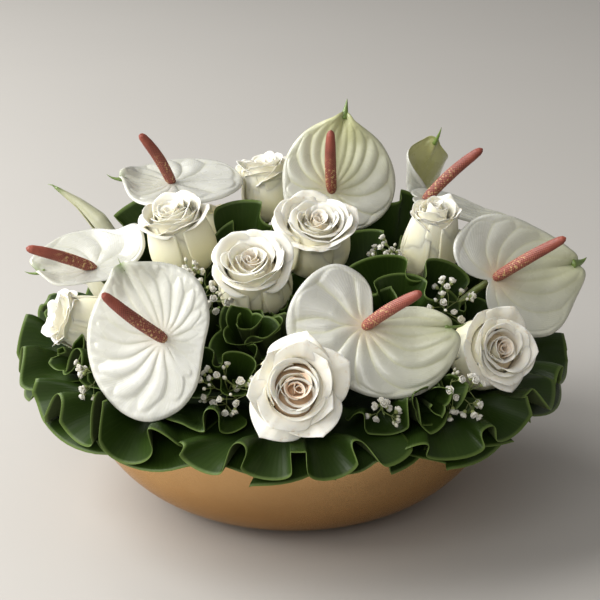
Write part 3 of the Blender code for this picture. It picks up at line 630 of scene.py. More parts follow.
# As in the solids up to the stalk's place, but back_hood and back_right are turned and shaped otherwise.
ANTHURIUMS = [
    Anthurium(
        "front_left", eye=(-83, -135, 165), normal=(-0.22, -0.86, 0.46), tip=(-0.49, 0.50, 0.71),
        outline=[(0, 62), (15, 54), (45, 52), (90, 53), (135, 55), (160, 49), (180, 41), (205, 31),
                 (235, 28), (270, 35), (300, 44), (345, 53)],
        bends=[(0, 25, 0.006), (100, 30, -0.007), (240, 18, -0.012)],
        spadix=(-36, -23, 39), length=57, foot=(-52, -80), sweep=(0.70, 0.70), veins=9, meet=2.2,
        crease=1.8, band=9.0, puff=0.105, scales=0.22, back=0.4, blush=0.10, pale=0.15, spur=0.6,
    ),
    Anthurium(
        "front_right", eye=(48, -118, 167), normal=(0.05, -0.85, 0.52), tip=(1.0, 0.04, -0.03),
        outline=[(0, 62), (14, 48), (28, 27), (40, 14), (58, 9), (72, 14), (84, 26), (100, 37), (118, 46),
                 (150, 50), (185, 52), (215, 46), (247, 42), (280, 48), (310, 57), (340, 62)],
        bends=[(0, 34, -0.008), (130, 22, 0.008), (218, 18, -0.014)],
        spadix=(34, -27, 33), length=54, foot=(38, -72), sweep=(0.80, 0.52), meet=1.12,
        crease=1.5, band=4.5, puff=0.125, lines=0.9, green=0.45, blush=0.30, pale=0.8,
    ),
    Anthurium(
        "right", eye=(142, -25, 168), normal=(0.25, -0.85, 0.46), tip=(0.95, 0.31, 0.06),
        outline=[(0, 68), (14, 58), (43, 47), (88, 45), (110, 42), (133, 38), (155, 28), (170, 16),
                 (185, 7), (205, 7), (225, 14), (243, 23), (262, 35), (285, 46), (305, 56), (335, 61)],
        bends=[(0, 36, -0.010), (90, 24, -0.006), (270, 26, 0.006)],
        spadix=(43, -25, 37), length=62, foot=(88, -16), sweep=(0.62, 0.55), veins=6, meet=1.10,
        puff=0.055, lines=0.6, green=0.50, blush=0.35, pale=0.8, spur=5.0,
    ),
    Anthurium(
        "left", eye=(-142, 0, 166), normal=(-0.10, -0.27, 0.96), tip=(-1.0, 0.0, -0.1),
        outline=[(0, 44), (30, 34), (60, 23), (90, 18), (120, 20), (150, 26), (180, 30), (205, 42),
                 (228, 50), (250, 44), (275, 48), (305, 50), (335, 48)],
        bends=[(220, 18, 0.024), (90, 8, 0.020), (285, 26, 0.010)],
        spadix=(-44, -19, 21), length=52, foot=(-92, -2), sweep=(0.8, 0.7), veins=6, meet=1.5,
        lines=0.25, pale=0.2,
    ),
    Anthurium(
        "back_left", eye=(-90, 75, 207), normal=(-0.05, -0.16, 0.985), tip=(-1.0, 0.0, 0.05),
        outline=[(0, 44), (18, 39), (60, 38), (90, 38), (120, 42), (150, 49), (180, 53), (210, 50),
                 (240, 45), (270, 42), (300, 39), (342, 39)],
        bends=[(0, 14, 0.014), (180, 30, -0.006)],
        spadix=(-20, -22, 42), length=52, foot=(-62, 56), meet=1.6, band=6.0, puff=0.12, green=0.10,
    ),
    Anthurium(
        "back_centre", eye=(28, 60, 206), normal=(0.12, -0.90, 0.42), tip=(0.17, 0.44, 0.89),
        outline=[(0, 64), (12, 54), (40, 46), (65, 41), (95, 36), (130, 35), (160, 30), (185, 24),
                 (210, 32), (240, 39), (280, 48), (320, 51), (348, 54)],
        bends=[(0, 30, 0.006), (90, 20, -0.010), (270, 24, -0.010)],
        spadix=(-1, -9, 49), length=48, foot=(30, 62), sweep=(0.55, 0.50), veins=8, meet=1.06,
        crease=1.5, band=4.5, puff=0.11, lines=1.0, green=0.85, back=0.8, blush=0.10, spur=3.2,
    ),
    Anthurium(
        "back_hood", eye=(92, 114, 187), normal=(-0.40, 0.86, 0.30), tip=(0.24, 0.02, 0.97),
        outline=[(0, 54), (14, 43), (45, 38), (90, 36), (130, 32), (160, 24), (180, 10), (200, 16),
                 (230, 24), (270, 38), (315, 44), (346, 46)],
        bends=[(90, 6, 0.050), (248, -2, -0.078)],
        spadix=(0, 12, 30), length=30, foot=(59, 84), veins=6, crease=1.2, puff=0.04, scales=0.0,
        lines=0.3, green=0.10, back=0.95, pale=0.1,
    ),
    Anthurium(
        "back_right", eye=(97, 55, 200), normal=(0.28, 0.02, 0.96), tip=(0.93, -0.05, -0.32),
        outline=[(0, 72), (12, 60), (35, 46), (65, 34), (100, 25), (140, 14), (165, 9), (180, 6),
                 (195, 9), (230, 15), (270, 26), (305, 38), (348, 60)],
        bends=[(90, 12, 0.008), (270, 12, 0.008), (0, 40, -0.006)],
        spadix=(38, -5, 38), length=56, foot=(82, 46), crease=1.3, puff=0.07, lines=0.4, green=0.20,
        back=0.6, pale=0.4,
    ),
]


def vein_lane(x, y, meet, veins):
    """Which lane between veins a point lies in, counted from the midrib. The veins are arcs that leave the
    eye all round and run together at the distance meet ahead of it."""
    turn = np.abs(np.arctan2(meet * y, x * x + y * y - meet * x))
    return veins * (1 - turn / math.pi) ** 0.9


def spathe_relief(flower, x, y, reach, edge, near, rng):
    """Height of the quilted surface, the strength of the vein line and the lane coordinate. Pillows stand
    between sunken veins, and end in scallops beside a raised band along the margin."""
    meet, step = flower.outline[0][1] * flower.meet, 0.4
    lane = vein_lane(x, y, meet, flower.veins)
    ahead = vein_lane(x + step, y, meet, flower.veins) - lane
    beside = vein_lane(x, y + step, meet, flower.veins) - lane
    width = np.minimum(1 / np.maximum(np.hypot(ahead, beside) / step, 0.03), LANE_WIDEST)
    sway = 0.16 * smooth(0.1, 0.5, reach) * wobble(x / 16, y / 16, rng)
    lane = np.maximum(lane + sway, 0)
    within = lane - np.floor(lane)
    pillow = np.sin(math.pi * within**flower.crease) ** 0.85
    from_edge = (1 - reach) * edge
    scallop = flower.band * (1 + 0.38 * np.cos(2 * math.pi * within))
    inner = smooth(scallop * 0.75, scallop * 1.5, from_edge) * smooth(0.03, 0.2, reach)
    band = np.sin(math.pi * np.clip(from_edge / (scallop * 1.1), 0, 1))
    fade = np.minimum(1.0, (near / 34.0) ** 2)
    height = flower.puff * width * pillow * inner + 0.75 * band**0.9
    scales = np.sin(2 * math.pi * (2.5 * lane + 0.5)) * band * smooth(0.2, 0.6, width / LANE_WIDEST)
    height = (height + flower.scales * scales) * fade
    height = height + 0.45 * fade * wobble(x / 9, y / 9, rng, 6) * smooth(0.1, 0.5, reach)
    off = np.abs(lane - np.round(lane)) * width
    vein = peak(off, 0.75) * smooth(0.3, 1.2, from_edge / scallop)
    return height, np.maximum(vein, 0.3 * peak(from_edge - scallop, 0.8)) * fade * flower.lines, lane


def spathe_values(flower, reach, x, y):
    """Colour amounts over the shield: greener towards the tip and near the midrib, blushed at the eye."""
    ahead = np.clip(x / flower.outline[0][1], -1, 1)
    green = smooth(-0.35, 0.9, ahead) * (0.45 + 0.55 * peak(y, 20)) + 0.25 * (1 - smooth(0.1, 0.6, reach))
    tip = smooth(0.74, 1.0, ahead) * peak(y, 6)
    return dict(green=flower.green * green, blush=flower.blush * peak(reach, 0.2), tip=tip)


def build_spathe(flower, rng):
    """The ribbed shield with a keeled tip that runs out into a green spur."""
    turn = -1 + 2 * np.arange(SECTORS) / SECTORS
    # The sector lines meet the margin closer together at the tip
    shares = (np.sign(turn) * np.abs(turn) ** 1.2)[None, :]
    reach = np.linspace(0, 1, RINGS)[:, None] ** 0.9
    end = shares * math.pi
    start = np.sign(shares) * np.abs(shares) ** np.where(shares > 0, *flower.sweep) * math.pi
    angle = end + (start - end) * (1 - reach) ** 1.5
    degrees = np.degrees(end[0])
    edges = [outline_radius(flower.outline, degrees + beside) for beside in (-16, 0, 16)]
    edge = edges[1] - TIP_TRIM * peak(degrees, 7)
    inner = np.minimum(EYE_R, 0.5 * edge)
    radius = inner + (edge - inner) * reach
    x, y = radius * np.cos(angle), radius * np.sin(angle)
    height, vein, lane = spathe_relief(flower, x, y, reach, edge, np.min(edges, axis=0), rng)
    tip = SECTORS // 2
    keel = smooth(0.55, 1.0, x / edge[tip]) * peak(y, 16)
    height = height + 0.85 * np.abs(y) * keel - 0.7 * smooth(0.95, 1.0, reach) * (1 - keel)
    points = bend(np.stack([x, y * (1 - 0.35 * keel), height], -1).reshape(-1, 3), flower.bends)
    eye = vec(*flower.eye)
    grid = (points @ facing_frame(flower.normal, flower.tip).T + eye).reshape(RINGS, SECTORS, 3)
    half = SPATHE_HALF * (1 - 0.65 * smooth(0.95, 1.0, reach))
    values = spathe_values(flower, reach, x, y)
    sheet = thin_sheet(grid, half, True, eye, vein=vein, flow=lane, back=flower.back, **values)
    ahead = unit(grid[-1, tip] - grid[-8, tip])
    root, far = grid[-3, tip], SPUR * min(1.0, 0.4 + 0.3 * flower.spur)
    rise = unit(ahead + 0.35 * vec(0, 0, 1))
    path = bezier(root - ahead * 4, root + ahead, root + ahead * far * 0.6, root + rise * far, 9)
    spur = tube(path, np.linspace(1.0, 0.06, 10) * flower.spur, 12, tip=1.0, face=1.0)
    add_piece(f"anthurium_spathe_{flower.name}", [sheet, spur], "spathe", f"spathe_{flower.name}")


def build_spadix(flower, rng):
    """The spike: rings along a slightly bent axis, covered with grains on crossed spirals."""
    normal, lean = unit(flower.normal), unit(flower.spadix)
    across = unit(np.cross(normal, lean))
    foot = vec(*flower.eye) + normal * (SPATHE_HALF + 0.2)
    shares = np.linspace(0, 1, SPADIX_RINGS)
    turns = circle(SPADIX_SIDES)
    size = np.interp(shares, (0, 0.05, 0.14, 0.45, 0.80, 0.93, 0.975, 1.0),
                     (0.80, 0.95, 1.0, 1.04, 0.92, 0.76, 0.52, 0.10))
    sway = 1.6 * np.sin(math.pi * shares)
    spin = rng.uniform(0, 6)
    rings, furrow_shades = [], []
    for share, wide, side in zip(shares, size, sway):
        axis = unit(normal + (lean - normal) * min(1.0, share / 0.12))
        up = np.cross(axis, across)
        centre = foot + lean * (flower.length * share) + across * side * 0.5 + up * side
        rows = share * flower.length / BUMP_PITCH
        p, q = (count * (turns + spin) / (2 * math.pi) + way * rows for count, way in zip(SPIRALS, (1, -1)))
        grain = np.abs(np.sin(math.pi * p) * np.sin(math.pi * q)) ** 0.5
        fade = 1 - 0.6 * smooth(0.6, 0.95, share)
        rings.append(ring(centre, across, up, SPADIX_R * wide + BUMP_HEIGHT * fade * (grain - 0.5), turns))
        # How deep each point lies in a furrow, which the material darkens as painted shade.
        furrow_shades.append((1 - grain) * fade)
    pale = flower.pale * (1 - smooth(0.35, 1.0, shares))
    dust = 1 - smooth(0.35, 0.7, shares)
    ends = [foot, foot + lean * (flower.length + 0.2)]
    part = skin(np.array(rings), ends, pit=np.array(furrow_shades), pale=pale, dust=dust)
    add_piece(f"anthurium_spadix_{flower.name}", [part], "spadix", f"spadix_{flower.name}")


def build_anthurium_stem(flower):
    """The stalk from behind the eye down into the foam."""
    normal = unit(flower.normal)
    top = vec(*flower.eye) - normal * SPATHE_LIFT
    x, y = flower.foot
    back = unit(-(normal + unit(flower.spadix)))
    path = bezier(top, top + back * 26, vec(x, y, foam_top(x, y) + 16), vec(x, y, STEM_FOOT_Z), 26)
    part = tube(path, STEM_R, 14, along=np.linspace(1, 0, len(path)))
    add_piece(f"anthurium_stem_{flower.name}", [part], "stem", f"stem_{flower.name}")


BUD_PATH = [(-174, 60, 208), (-156, 58, 196), (-143, 56, 184), (-131, 53, 168), (-113, 43, 138),
            (-101, 32, 112), (-98, 30, 84)]
BUD_RADII = [0.8, 3.8, 7.0, 6.0, 2.6, 2.5, 2.5]
# The rolled sheet: its end in steps of the path, its turns, and the rows and columns of its grid
BUD_END = 3.4
BUD_WINDING = 1.45
BUD_ROWS = 44
BUD_COLUMNS = 60


def build_bud():
    """A young shield still rolled round itself: a spiral sheet that opens a little on one side."""
    path = np.array(BUD_PATH, float)
    steps = np.arange(len(path))
    fine = np.linspace(0, BUD_END, BUD_ROWS)
    centre = np.stack([np.interp(fine, steps, path[:, k]) for k in range(3)], -1)
    for _ in range(4):
        centre[1:-1] = (centre[:-2] + 2 * centre[1:-1] + centre[2:]) / 4
    turns = np.linspace(0, 1, BUD_COLUMNS)
    rows = []
    for point, way, radius in zip(centre, tangents(centre), np.interp(fine, steps, BUD_RADII)):
        side = unit(np.cross(way, (0, 0, 1)))
        a = 2 * math.pi * BUD_WINDING * turns + 2.2
        rows.append(ring(point, side, np.cross(side, way), radius * (0.62 + 0.38 * turns), a))
    reach = np.linspace(1, 0, len(rows))[:, None]
    lane = np.linspace(0, 9, BUD_COLUMNS)[None, :]
    vein = 0.5 * peak(np.abs(lane - np.round(lane)), 0.12)
    sheet = thin_sheet(np.array(rows), 0.4, vein=vein, flow=lane, green=0.30 + 0.2 * reach,
                       tip=smooth(0.86, 1.0, reach), back=0.35)
    stalk = bezier(path[3] + (path[2] - path[3]) * 0.6, path[3], path[4], path[5], 20)
    stalk = tube(np.vstack([stalk, path[6:]]), 2.6, 12, green=0.8, tip=0.5)
    way = unit(path[0] - path[1])
    spur = [path[0] - way * 3, path[0], path[0] + way * 3, path[0] + way * 5 + vec(-1.5, 0, -0.5)]
    spur = tube(spur, [1.3, 0.9, 0.5, 0.15], 10, tip=0.9)
    add_piece("anthurium_rolled_bud", [sheet, stalk, spur], "spathe", "spathe_rolled_bud")


# Roses

# name, centre of the open face, axis out of the face, radius, height, how far it has opened, how flat its
# guard petals lie, spin, stem foot, peach inside, partly painted shade
ROSES = [
    ("front", (3, -176, 147), (0.02, -0.88, 0.47), 35, 42, 1.0, 1.0, 10, (2, -92), 0.95),
    ("centre_left", (-29, -60, 194), (-0.10, -0.50, 0.86), 34, 46, 0.9, 0.25, 40, (-22, -34), 0.25),
    ("centre", (17, -5, 205), (0.05, -0.45, 0.89), 33, 46, 0.9, 0.30, 70, (12, 16), 0.25),
    ("upper_left", (-87, 5, 209), (-0.25, -0.20, 0.95), 31, 52, 0.78, 0.1, 20, (-66, 24), 0.05),
    ("back", (-23, 96, 217), (-0.20, -0.10, 0.97), 27, 46, 0.6, 0.0, 0, (-16, 84), 0.05),
    ("upper_right", (100, -2, 211), (0.10, -0.25, 0.96), 27, 56, 0.3, 0.0, 30, (84, 16), 0.1),
    ("right", (140, -106, 147), (0.45, -0.75, 0.48), 31, 42, 0.85, 0.55, 75, (86, -58), 0.5),
    ("left", (-163, -46, 147), (-0.93, -0.20, 0.32), 26, 40, 0.7, 0.3, 15, (-96, -36), 0.1),
    ("left_back", (-148, 65, 147), (-0.75, 0.30, 0.60), 26, 40, 0.6, 0.1, 35, (-92, 48), 0.1),
    ("behind_left", (-72, 134, 156), (-0.35, 0.78, 0.52), 32, 44, 0.8, 0.5, 50, (-44, 84), 0.3),
    ("behind", (22, 150, 156), (0.08, 0.84, 0.54), 32, 44, 0.8, 0.7, 5, (16, 96), 0.3),
    ("behind_right", (134, 90, 150), (0.72, 0.42, 0.55), 30, 42, 0.8, 0.3, 25, (90, 62), 0.3),
]
HEART, CUP, GUARD = 5, 9, 10
# The middle below the rims of the inner petals: its rise and its radius, as shares of the bloom
CORE_RISE = (0.20, 0.70, 0.76, 0.80, 0.84, 0.88, 0.92)
CORE_WIDE = (0.05, 0.48, 0.49, 0.44, 0.30, 0.12, 0.02)


def petal_plan(k, radius, height, opened, flat, rng):
    """Sizes of petal k, counted from the heart: belly and rim radius, rim height, half width in degrees,
    length of the free end, its lean from the axis and the roll of its edge in degrees, how pointed it is and
    how keen its point, how square its corners are, how much it winds inwards and how wavy it is."""
    closed = 1 - opened
    uneven = 1 + 0.03 * rng.normal()
    if k < HEART:
        t = k / (HEART - 1)
        return dict(
            belly=radius * (0.10 + 0.10 * t), rim=radius * (0.06 + (0.14 - 0.06 * closed) * t),
            top=height * (0.94 + 0.06 * closed - 0.01 * t), half=150 - 50 * t,
            tail=radius * (0.07 + 0.08 * t), lean=(10 + 20 * t) * opened, roll=20,
            point=0.1, keen=1, drop=3.0, spiral=0.22, wave=0.3,
        )
    if k < HEART + CUP:
        t = (k - HEART) / (CUP - 1)
        return dict(
            belly=radius * (0.20 + 0.33 * t),
            rim=radius * (0.12 + 0.10 * opened + (0.20 + 0.12 * opened - 0.04 * flat) * t),
            top=height * (0.92 + 0.07 * closed - 0.03 * t + 0.03 * flat * t) * uneven, half=104 - 24 * t,
            tail=radius * (0.20 - 0.09 * flat + 0.07 * t),
            lean=46 * opened - 14 - 20 * flat + 24 * t * opened, roll=5 + 15 * t * opened + 20 * rng.random(),
            point=0.20 + 0.25 * closed, keen=1, drop=2.6, spiral=0.06, wave=1.6,
        )
    t = (k - HEART - CUP) / (GUARD - 1)
    return dict(
        belly=radius * (0.64 + 0.12 * t),
        rim=radius * (0.38 + 0.26 * opened - 0.12 * flat + (0.06 + 0.10 * closed + 0.02 * flat) * t),
        top=height * (0.88 - (0.10 + 0.16 * flat) * t * opened) * (1 + 2 * (1 - flat) * (uneven - 1)),
        half=66 - 6 * t + 8 * flat, tail=radius * (0.26 + 0.10 * t + 0.16 * flat),
        lean=(14 + 46 * opened * opened * t) * (1 - flat) + (54 + 28 * t) * flat,
        roll=(8 + 40 * t * opened) * (1 - flat) - 12 * flat + 24 * rng.random(),
        point=0.25 + 0.27 * flat + 0.30 * closed, keen=1 - 0.35 * flat, drop=3.5 + 3.5 * flat,
        spiral=0.03, wave=1.3,
    )


def petal_grid(plan, height, rng):
    """Points of one petal round the axis: a cupped body, then a free end that leans out and rolls back at its
    edge. Also how far along the petal each row is."""
    u = np.linspace(-1, 1, PETAL_COLUMNS)[None, :]
    belly, top, point, wave = plan["belly"], plan["top"], plan["point"], plan["wave"]
    ends = (3.0, 0.0), (belly * 1.25 + 2, 0.02 * height), (belly * 1.02, 0.60 * top), (plan["rim"], top)
    body = bezier(*ends, PETAL_BODY_ROWS - 1)
    leave = body[-1] - body[-2]
    start = math.degrees(math.atan2(leave[0], leave[1]))
    q = np.linspace(0, 1, PETAL_RIM_ROWS + 1)[1:, None]
    out = np.abs(u)
    tail = plan["tail"] * (1 - point * out ** plan["keen"] - (0.85 - point) * out ** plan["drop"])
    side = 1 + 0.5 * u * u + 0.2 * wobble(1.8 * u, 0, rng)
    way = start + (plan["lean"] * side - start) * smooth(0.0, 0.45, q)
    way = np.radians(way + plan["roll"] * side * smooth(0.5, 1.1, q))
    rim_r, rim_z = (
        from_body + np.cumsum(step, axis=0) * tail / PETAL_RIM_ROWS
        for from_body, step in zip(body[-1], (np.sin(way), np.cos(way)))
    )
    r = np.vstack([np.repeat(body[:, :1], PETAL_COLUMNS, 1), rim_r])
    z = np.vstack([np.repeat(body[:, 1:], PETAL_COLUMNS, 1), rim_z])
    along = np.concatenate([np.linspace(0, 0.8, PETAL_BODY_ROWS), 0.8 + 0.2 * q[:, 0]])[:, None]
    wide = (0.42 + 0.58 * smooth(0.0, 0.55, along)) * (1 - 0.16 * smooth(0.75, 1.0, along))
    r = r * (1 + plan["spiral"] * u) + 0.7 * smooth(0.55, 1.0, out) * along
    r = r + 0.5 * wave * wobble(2.0 * u, 5 * along, rng) * smooth(0.35, 1.0, along)
    z = z + 0.9 * wave * wobble(2.8 * u, 2 * along, rng) * smooth(0.6, 1.0, along)
    z = z + 0.35 * wave * wobble(8.0 * u, 2 * along, rng) * smooth(0.8, 1.0, along)
    return r, z, np.radians(plan["half"]) * u * wide, along


def build_rose(name, face, axis, radius, height, opened, flat, spin, foot, warm):
    """Petals round one another from a tight heart to flared guard petals, with the calyx and stem below."""
    rng = np.random.default_rng(sum(ord(c) for c in name))
    axes = upright_frame(axis)
    down = -unit(axis)
    base = vec(*face) + down * height
    core = base + np.outer(CORE_RISE, axes[:, 2]) * height * (1 - 0.12 * flat)
    # The middle and the inner petals carry the peach that is partly painted shade.
    parts = [tube(core, np.array(CORE_WIDE) * radius * (0.85 + 0.15 * opened), 24, along=0.7, heart=warm)]
    petals = HEART + CUP + GUARD
    for k in range(petals):
        plan = petal_plan(k, radius, height, opened, flat, rng)
        shift = radius * (0.045 + 0.02 * flat) * rng.normal(size=2)
        r, z, turn, along = petal_grid(plan, height, rng)
        a = turn + math.radians(spin + (GOLDEN_DEG + 16.8 * flat) * k + 8 * rng.normal())
        local = around(r, a, z)
        local[..., :2] += along[..., None] * shift
        rim = smooth(0.9, 1.0, along)
        parts.append(thin_sheet(
            base + local @ axes.T, PETAL_HALF * (1 - 0.6 * rim), along=along,
            flow=np.linspace(0, 6, PETAL_COLUMNS)[None, :], warm=warm * (0.30 + 0.70 * (1 - k / petals)),
            heart=warm * (k < HEART) * (1 - 0.6 * rim), bruise=0.5 * (k >= HEART + CUP) * rim,
        ))
    add_piece(f"rose_bloom_{name}", parts, "petal", f"rose_{name}")
    build_rose_stem(name, base, axes, down, foot, rng)


def build_rose_stem(name, base, axes, down, foot, rng):
    """The green hip, five narrow sepals that fold back, and the stem down into the foam."""
    x, y = foot
    neck = base + down * 5
    path = bezier(neck, neck + down * 16, vec(x, y, foam_top(x, y) + 12), vec(x, y, STEM_FOOT_Z), 24)
    hip = base + np.outer((-1.5, 0, 2, 4, 6.5), down)
    parts = [tube(path, 2.7, 12, along=np.linspace(0.8, 0, len(path))),
             tube(hip, [3.2, 4.2, 4.4, 3.8, 2.6], 14, along=0.7)]
    t = np.linspace(0, 1, 12)[:, None]
    u = np.linspace(-1, 1, 7)[None, :]
    for k in range(SEPALS):
        a = math.radians(360 / SEPALS * k + 12 * rng.normal())
        wide = 3.4 * (1 - t) ** 0.7 * (0.55 + 0.9 * t)
        z = 1.5 + 3.0 * t - 8 * t * t * rng.uniform(0.4, 1.2) + 0.4 * u * u
        local = turned(3.8 + 15 * t - 3 * t * t, u * wide, a, z)
        parts.append(thin_sheet(base + local @ axes.T, 0.3, along=0.5))
    add_piece(f"rose_stem_{name}", parts, "stem")


# Ruffled leaves


@dataclass
class Leaf:
    """A leaf: its root, heading and face normal, length, spread in degrees, number of folds along the margin,
    their phase in degrees and their height."""

    name: str
    root: tuple
    heading: tuple
    normal: tuple
    length: float
    spread: float
    waves: float
    phase: float
    ruffle: float
    # Share of the length that has no folds, how much shorter the corners are than the middle, bends
    calm: float = 0.1
    round: float = 0.12
    bends: tuple = ()
    # Degrees without folds on either side, slope to one side, and for a collar leaf the distance of its root
    # from the bowl's axis
    wing: float = 0.0
    tilt: float = 0.0
    inset: float = 0.0


# The collar: radius and height of its roots, its reach from the bowl's axis, and how far leaves overlap
COLLAR_ROOT = (119.0, 106.5)
COLLAR_REACH = 198.0
COLLAR_COUNT = 8
COLLAR_FIRST = -90.0
COLLAR_LAP = 7.0
CORNER_POWER = 8.0
# Folds of each collar leaf from the front one on, counter-clockwise from above: waves, phase, height
COLLAR_FOLDS = [(3.8, 321, 9.0), (3.0, 300, 11.0), (3.0, 215, 16.0), (3.0, 160, 14.0), (3.5, 200, 13.0),
                (2.5, 140, 15.0), (3.0, 190, 15.0), (3.5, 275, 15.0)]
CREST_LIFT = 0.5
CREST_RECESS = 0.14
UNDER_ROOT = (122.0, 103.0)
UNDER_LENGTH = (72.0, 78.0)
UNDER_COUNT = 16
UNDER_SEED = 9
TIER_ROOT = (112.0, 109.0)
TIER_LENGTH = (56.0, 70.0)
TIER_WAVES = (2.0, 2.5, 3.0)
TIER_SEED = 4
INNER_COUNT = 38
INNER_R = 124.0
INNER_LENGTH = (36.0, 50.0)
INNER_SEED = 21
# First seed of the shapes in each set of leaves
SHAPE_SEEDS = dict(collar=70, single=80, tier=110, under=130, more=150, rosette=150)

# Single leaves that stand for solids
LEAVES = [
    Leaf("centre_right", (72, -48, 121), (0.18, -0.15, 0.96), (0.1, -0.98, -0.1), 60, 84, 2.0, 100, 10),
    Leaf("left", (-112, 8, 116), (-0.96, 0.0, 0.26), (0.3, 0, 0.95), 72, 40, 1.5, 0, 7),
    Leaf("back_centre", (-28, 38, 119), (-0.05, 0.05, 0.99), (0, -0.99, 0.1), 74, 72, 1.0, 200, 6, round=0.4),
    Leaf("left_centre", (-88, -24, 118), (-0.25, 0.1, 0.96), (-0.2, -0.95, 0.1), 54, 60, 2.0, 90, 8),
    Leaf("upper_left", (-76, 68, 112), (-0.58, 0.0, 0.82), (0.1, -0.97, 0.1), 92, 56, 1.5, 0, 7, round=0.45),
    Leaf("upper_right", (58, 28, 120), (0.15, 0.1, 0.98), (0, -0.99, 0.1), 64, 84, 1.5, 120, 8, round=0.4),
]
# Single leaves that the solids leave out, all set in the foam
MORE_LEAVES = [
    Leaf("front_left", (-42, -98, 112), (-0.30, -0.85, 0.42), (0, 0.45, 0.9), 48, 84, 2.5, 200, 8, calm=0.2,
         bends=[(0, 26, -0.016)]),
    Leaf("front_middle", (-8, -98, 113), (-0.25, -0.75, 0.60), (0, 0.6, 0.8), 42, 80, 2.0, 60, 7, calm=0.2,
         bends=[(0, 22, -0.016)]),
    Leaf("middle_left", (-58, 0, 119), (-0.10, -0.10, 0.98), (0, -0.98, -0.1), 48, 80, 2.5, 0, 8),
    Leaf("middle", (-2, -42, 120), (0.10, -0.25, 0.95), (0, -0.95, -0.2), 46, 84, 2.5, 120, 8),
    Leaf("middle_right", (56, -58, 116), (0.05, -0.55, 0.80), (0, -0.80, -0.55), 34, 90, 2.5, 40, 8),
    Leaf("gap_left", (-46, -62, 117), (-0.25, -0.35, 0.9), (-0.1, -0.93, -0.35), 36, 88, 2.5, 80, 8,
         calm=0.12),
    Leaf("high_right", (76, -36, 116), (0.04, -0.03, 1.0), (0.05, -0.99, 0.0), 76, 84, 1.75, 30, 10,
         calm=0.15, round=0.35, bends=[(0, 36, 0.012)]),
    Leaf("middle_back", (4, 66, 117), (0.0, 0.1, 0.99), (0, -0.99, 0.1), 56, 76, 2.5, 0, 8),
    Leaf("gap_right", (66, 72, 116), (0.12, 0.02, 0.99), (0.1, -0.98, 0.1), 88, 70, 1.0, 160, 6, round=0.45),
    Leaf("high_back", (-32, 54, 118), (0.02, 0.0, 1.0), (0, -0.99, 0.1), 82, 50, 1.0, 200, 6, round=0.45),
    Leaf("back_slope_left", (-60, 96, 110), (-0.25, 0.45, 0.85), (0, -0.85, 0.45), 50, 84, 2.5, 70, 8),
    Leaf("back_slope", (0, 108, 110), (0.05, 0.55, 0.80), (0, -0.80, 0.55), 52, 84, 2.5, 30, 8),
    Leaf("back_slope_right", (76, 96, 110), (0.35, 0.40, 0.85), (0, -0.85, 0.4), 48, 84, 2.5, 0, 8),
]


def rim_leaf(row, k, place, count, root, rise=0.0, **plan):
    """Leaf k of a row of count leaves that head outwards. place is its number in the row and a turn in
    degrees from there, and root is the radius and height of its root."""
    a = math.radians(COLLAR_FIRST + 360 / count * place[0] + place[1])
    x, y = math.cos(a), math.sin(a)
    return Leaf(f"{row}_{k + 1}", (root[0] * x, root[0] * y, root[1]), (x, y, rise), (0, 0, 1), **plan)


def collar_leaves():
    """Eight broad leaves that radiate over the rim and share the circle between them."""
    rng = np.random.default_rng(COLLAR_COUNT)
    radius = COLLAR_ROOT[0]
    return [
        rim_leaf(
            "collar", k, (k, 0), COLLAR_COUNT, COLLAR_ROOT, length=COLLAR_REACH - radius, spread=112,
            wing=46, waves=waves, phase=phase, ruffle=height, calm=0.36, bends=[(0, 34, -0.010)],
            inset=radius, tilt=rng.uniform(-0.02, 0.06),
        )
        for k, (waves, phase, height) in enumerate(COLLAR_FOLDS)
    ]


def under_leaves():
    """Low, nearly smooth leaves below the collar that close the view between its folds."""
    rng = np.random.default_rng(UNDER_SEED)
    return [
        rim_leaf(
            "under", k, (k + 0.5, rng.uniform(-6, 6)), UNDER_COUNT, UNDER_ROOT, spread=116, waves=1.0,
            length=rng.uniform(*UNDER_LENGTH), phase=rng.uniform(0, 360), ruffle=rng.uniform(3, 5),
            calm=0.3, bends=[(0, 26, -0.013)], round=0.45,
        )
        for k in range(UNDER_COUNT)
    ]


def tier_leaves():
    """A second, higher row of ruffled leaves all the way round, between the leaves of the collar."""
    rng = np.random.default_rng(TIER_SEED)
    return [
        rim_leaf(
            "tier", k, (k + 0.5, rng.uniform(-5, 5)), COLLAR_COUNT, TIER_ROOT, 0.10,
            length=rng.uniform(*TIER_LENGTH), spread=rng.uniform(84, 98), waves=rng.choice(TIER_WAVES),
            phase=rng.uniform(0, 360), ruffle=rng.uniform(12, 16), calm=0.25, bends=[(0, 30, -0.012)],
            round=0.3,
        )
        for k in range(COLLAR_COUNT)
    ]


def inner_leaves():
    """Short upright ruffled leaves spread evenly over the foam, between the stems."""
    rng = np.random.default_rng(INNER_SEED)
    leaves = []
    for k in range(INNER_COUNT):
        radius = INNER_R * math.sqrt((k + 0.5) / INNER_COUNT)
        a, b = math.radians(GOLDEN_DEG) * k, rng.uniform(0, 2 * math.pi)
        x, y = radius * math.cos(a), radius * math.sin(a)
        leaves.append(Leaf(
            f"inner_{k + 1}", (x, y, foam_top(x, y) - 1), (0.6 * x / INNER_R, 0.6 * y / INNER_R, 0.9),
            (math.cos(b), math.sin(b), 0.1), rng.uniform(*INNER_LENGTH) + 8 * radius / INNER_R, 88, 2.5,
            rng.uniform(0, 360), 8, calm=0.12,
        ))
    return leaves


